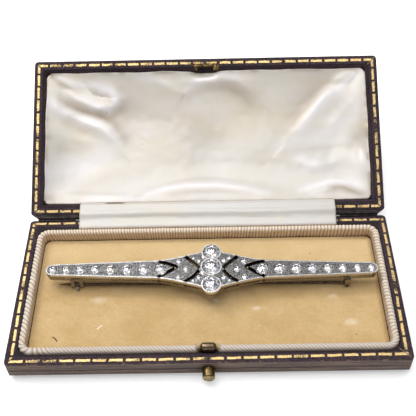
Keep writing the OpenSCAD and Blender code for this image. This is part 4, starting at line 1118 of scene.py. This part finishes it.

# %% [markdown]
# ## Metal
# The bar is platinum, nearly white and polished on its raised border. The gallery under it is
# painted darker as shade, with some dust. The grains between its stones are the same metal in a
# greyer finish, with old dust round them, and the pin behind it is a darker white gold. The case's
# fittings are brass that has darkened, and the hinge is blackened steel. One recipe makes them all,
# from a bright and a dark colour in clouds.

# %% Dust and painted shade on the bar
def bar_dust_and_shade(f, where, colour, dark):
    """Dust, and painted shade in the slits and on the gallery, over the bar's colour, by place on the bar
    itself, which lies a little askew.
    """
    x, y, z = f.split(where)
    # Dust stays in the field between the grains, and the slits with a band round them are painted black as
    # shade
    dip = f.between(z, FACE_Z - 0.05, FACE_Z - 0.02) * (1.0 - f.between(z, FACE_Z + 0.03, FACE_Z + 0.12))
    colour = f.mix(dip * 0.66, colour, dark)
    off_x = abs((x - BAR_X) + (y - BAR_Y) * BAR_TURN)
    off_y = (y - BAR_Y) - (x - BAR_X) * BAR_TURN
    for a, b, bow in SLIT_LINES:
        d, long = (b - a).normalized(), (b - a).length
        along = (off_x - a.x) * d.x + (off_y - a.y) * d.y
        share = along / long
        across = abs((off_y - a.y) * d.x - (off_x - a.x) * d.y - share * (1.0 - share) * (4 * bow))
        inside = f.between(along, -0.45, -0.15) * (1.0 - f.between(along, long + 0.15, long + 0.45))
        inside = inside * (1.0 - f.between(across, 0.42, 0.54))
        colour = f.mix(inside, colour, (0.010, 0.008, 0.008))
    # The outer wall of the gallery is painted darker as shade, with some dust, most of all right under the
    # border and at its foot
    flare = ((1.0 - off_x / FLARE_REACH).most(0.0) ** FLARE_POWER) * FLARE_RISE
    half = flare + MIDDLE_HALF - off_x * (TAPER / ARM)
    outer = 1.0 - f.between((half - abs(off_y)).least(ARM - off_x), 0.30, 0.50)
    gallery_shade = outer * (1.0 - f.between(z, FACE_Z - 0.9, FACE_Z + 0.05))
    foot = 1.0 - f.between(z, FACE_Z - 2.8, FACE_Z - 2.2)
    colour = f.mix(gallery_shade.most(foot) * 0.78, colour, (0.17, 0.138, 0.105))
    # Painted shadow: a black band round the gallery just under the border
    shadow_below_border = f.between(z, FACE_Z - 1.35, FACE_Z - 1.15) * (1.0 - f.between(z, FACE_Z - 0.95, FACE_Z - 0.80))
    return f.mix(shadow_below_border * outer * 0.90, colour, (0.018, 0.013, 0.010))


print("slits that are kept dark on each side of the bar", len(SLIT_LINES))


# %% Metal finishes
def metal(name, bright, dark, rough, grime, scale=1.0, on_bar=False):
    """A worn metal: bright where it is rubbed, dark in clouds, with fine scratches."""
    f = Finish(name)
    where = f.place()
    patina = f.cloud(where, 0.9 * scale, 4.0, 0.65)
    speck = f.cloud(where, 6.0 * scale, 3.0, 0.7, seed=2.0)
    scratch = f.cloud(f.stretch(where, (1.0, 14.0, 3.0), 0.4), 1.5 * scale, 2.0, 0.5, seed=4.0)
    colour = f.mix(f.between(patina + speck * 0.3, 0.45, 0.85) * grime, bright, dark)
    if on_bar:
        colour = bar_dust_and_shade(f, where, colour, dark)
    bumps = f.relief(scratch, 0.10, 0.00005)
    bumps = f.relief(speck, 0.12, 0.00006, bumps)
    matt = f.between(patina, 0.3, 0.8) * 0.16 + rough
    return f.done(Base_Color=colour, Metallic=1.0, Roughness=matt, Normal=bumps)


platinum = metal("platinum", (0.86, 0.85, 0.845), (0.13, 0.12, 0.11), 0.17, 0.28, 1.4, True)
grain_metal = metal("setting_grain", (0.45, 0.44, 0.435), (0.045, 0.040, 0.036), 0.20, 0.85, 1.8)
pin_metal = metal("white_gold", (0.155, 0.122, 0.088), (0.034, 0.024, 0.016), 0.36, 0.8, 1.4)
old_brass = metal("old_brass", (0.28, 0.208, 0.082), (0.060, 0.042, 0.020), 0.30, 0.9)
lug_brass = metal("lug_bronze", (0.235, 0.176, 0.112), (0.040, 0.028, 0.018), 0.25, 0.9)
hinge_metal = metal("hinge_steel", (0.058, 0.050, 0.048), (0.014, 0.011, 0.011), 0.48, 0.8)

# %% Brass of the keeper
# The plate is flaked brass, and its foot is covered with leather and tooled with it
f = Finish("keeper_brass")
where = f.place(True)
_, gold, edge, _, _ = tooling(f, where, DASH_LID, HINGE.z, -1.0, 0.0)
flake = f.cloud(where, 2.6, 4.0, 0.75, seed=3.0)
under = 1.0 - f.between(edge + (flake - 0.5) * 0.3, 1.34, 1.46)
brass = f.mix(f.between(flake, 0.50, 0.66), (0.035, 0.022, 0.014), (0.420, 0.285, 0.095))
tooled = f.mix(gold * f.between(flake, 0.40, 0.56), (0.030, 0.018, 0.018), (0.70, 0.47, 0.16))
brass = f.mix(under, brass, tooled)
keeper_brass = f.done(Base_Color=brass, Metallic=1.0 - under * 0.6, Roughness=flake * 0.2 + 0.32,
                      Normal=f.relief(flake, 0.3, 0.0001))

# %% Give the metal its finishes
dress(platinum, "bar_frame")
dress(pin_metal, "pin_stem", "pin_rivet", "catch_sleeve")
dress(old_brass, "push_button")
dress(keeper_brass, "lid_keeper")
dress(hinge_metal, "hinge_base_leaf", "hinge_lid_leaf", "hinge_pin")

# %% Rounder lug
# The real lug is worn round, so a block of its size gets a wide bevel
LUG_FOOT, LUG_ROUND = 4.6, 0.88
lug = bmesh.new()
bmesh.ops.create_cube(lug, size=1.0)
box_low, box_high = ([c * 1000 for c in corner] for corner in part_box("catch_lug"))
box_low[2] = LUG_FOOT
bmesh.ops.scale(lug, vec=[b - a for a, b in zip(box_low, box_high)], verts=lug.verts)
bmesh.ops.bevel(lug, geom=lug.edges, affect="EDGES", offset=LUG_ROUND, offset_type="OFFSET", segments=6,
                profile=0.5, material=-1, clamp_overlap=True)
bmesh.ops.translate(lug, vec=[(a + b) / 2 for a, b in zip(box_low, box_high)], verts=lug.verts)
rounded_lug = piece("rounded_lug", lug, "catch", lug_brass)
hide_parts("catch_lug")

# %% [markdown]
# ## Stones
# The stones are old-cut diamonds. Their facets are already in the frame, so the finish only has to
# bend light as diamond does, with an index of 2.42. A faint tint varies from stone to stone, as it
# does in stones that were matched by eye, and painted patches of blue and orange stand for the
# coloured light of their fire.

# %% Diamonds
def diamond(name, tint):
    """Clear stone with a tint and with painted patches of blue and orange for the light of its fire."""
    f = Finish(name)
    where = f.place()
    fire = f.cloud(where, 1.5, 2.0, 0.5)
    colour = f.mix(f.between(fire, 0.55, 0.60), tint, (0.66, 0.72, 1.0))
    colour = f.mix(1.0 - f.between(fire, 0.38, 0.43), colour, (1.0, 0.82, 0.64))
    return f.done(Base_Color=colour, Roughness=0.0, IOR=2.42, Transmission_Weight=1.0)


TINTS = [(1.0, 1.0, 1.0), (0.98, 0.99, 1.0), (1.0, 0.985, 0.955)]
diamonds = [diamond("diamond_%d" % (i + 1), tint) for i, tint in enumerate(TINTS)]
stones = sorted(n for n in nodes if "_stone_" in n)
for i, name in enumerate(stones):
    dress(diamonds[(i * 7) % 3], name)
print("stones", len(stones))

# %% [markdown]
# ## Grains between the stones
# The setter raises small beads from the metal round every stone and over the field between them.
# Such a field glitters like frost. Each bead is a low dome of a few faces, set on a hexagonal net
# wherever the face is free of stones, slits and border.

# %% Shape of a grain
mould = bmesh.new()
bmesh.ops.create_uvsphere(mould, u_segments=6, v_segments=6, radius=1.0)
bmesh.ops.delete(mould, geom=[v for v in mould.verts if v.co.z < -0.55], context="VERTS")
bead_shape = bpy.data.meshes.new("bead")
mould.to_mesh(bead_shape)
mould.free()
print("a bead has", len(bead_shape.polygons), "faces")


def dome(shape, middle, r):
    """Adds a low bead to the shape on the bar's face."""
    put = Matrix.Translation(middle) @ Matrix.Scale(r, 4)
    bead_shape.transform(put)
    shape.from_mesh(bead_shape)
    bead_shape.transform(put.inverted())


# %% Grains over the field
STEP, SHIFT = 0.44, 0.05
BORDER, END_REACH, END_ROUND = 0.52, 1.6, 1.05
STONE_ROOM, SLIT_ROOM = 0.24, 0.62
rng = random.Random(7)
beads = bmesh.new()
count = 0
for row in range(-18, 19):
    for col in range(-94, 95):
        x0 = col * STEP + (row % 2) * STEP / 2 + rng.uniform(-SHIFT, SHIFT)
        y0 = row * STEP * 0.866 + rng.uniform(-SHIFT, SHIFT)
        if abs(x0) > ARM - 0.9 or abs(y0) > half_at(x0) - BORDER:
            continue
        if abs(x0) > ARM - END_REACH and math.hypot(abs(x0) - ARM + END_REACH, y0) > END_ROUND:
            continue
        if any(math.hypot(x0 - a, y0 - b) < d / 2 + STONE_ROOM for a, b, d in spots + collets):
            continue
        if not free_of_slits(x0, y0, SLIT_ROOM):
            continue
        dome(beads, (x0, y0, 0.02), rng.uniform(0.14, 0.22))
        count += 1
print("grains over the field", count)

# %% Grains that hold the stones
SMALL_STONE = 1.5
for a, b, d in spots:
    n, size = (4, 0.21) if d > SMALL_STONE else (3, 0.16)
    for k in range(n):
        turn = math.pi / n + 2 * math.pi * k / n
        r = d / 2 + 0.08
        if abs(b + r * math.sin(turn)) < half_at(a) - 0.25:
            dome(beads, (a + r * math.cos(turn), b + r * math.sin(turn), 0.05), size)
            count += 1
bmesh.ops.transform(beads, matrix=BAR, verts=beads.verts)
print("grains in all", count)
piece("setting_beads", beads, "base", grain_metal)

# %% [markdown]
# ## Sizes at the end
# The dressed model's box is printed, in millimetres.

# %% Print the dressed box
low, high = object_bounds()
print("dressed box", [round(v * 1000, 2) for v in (*low, *high)])
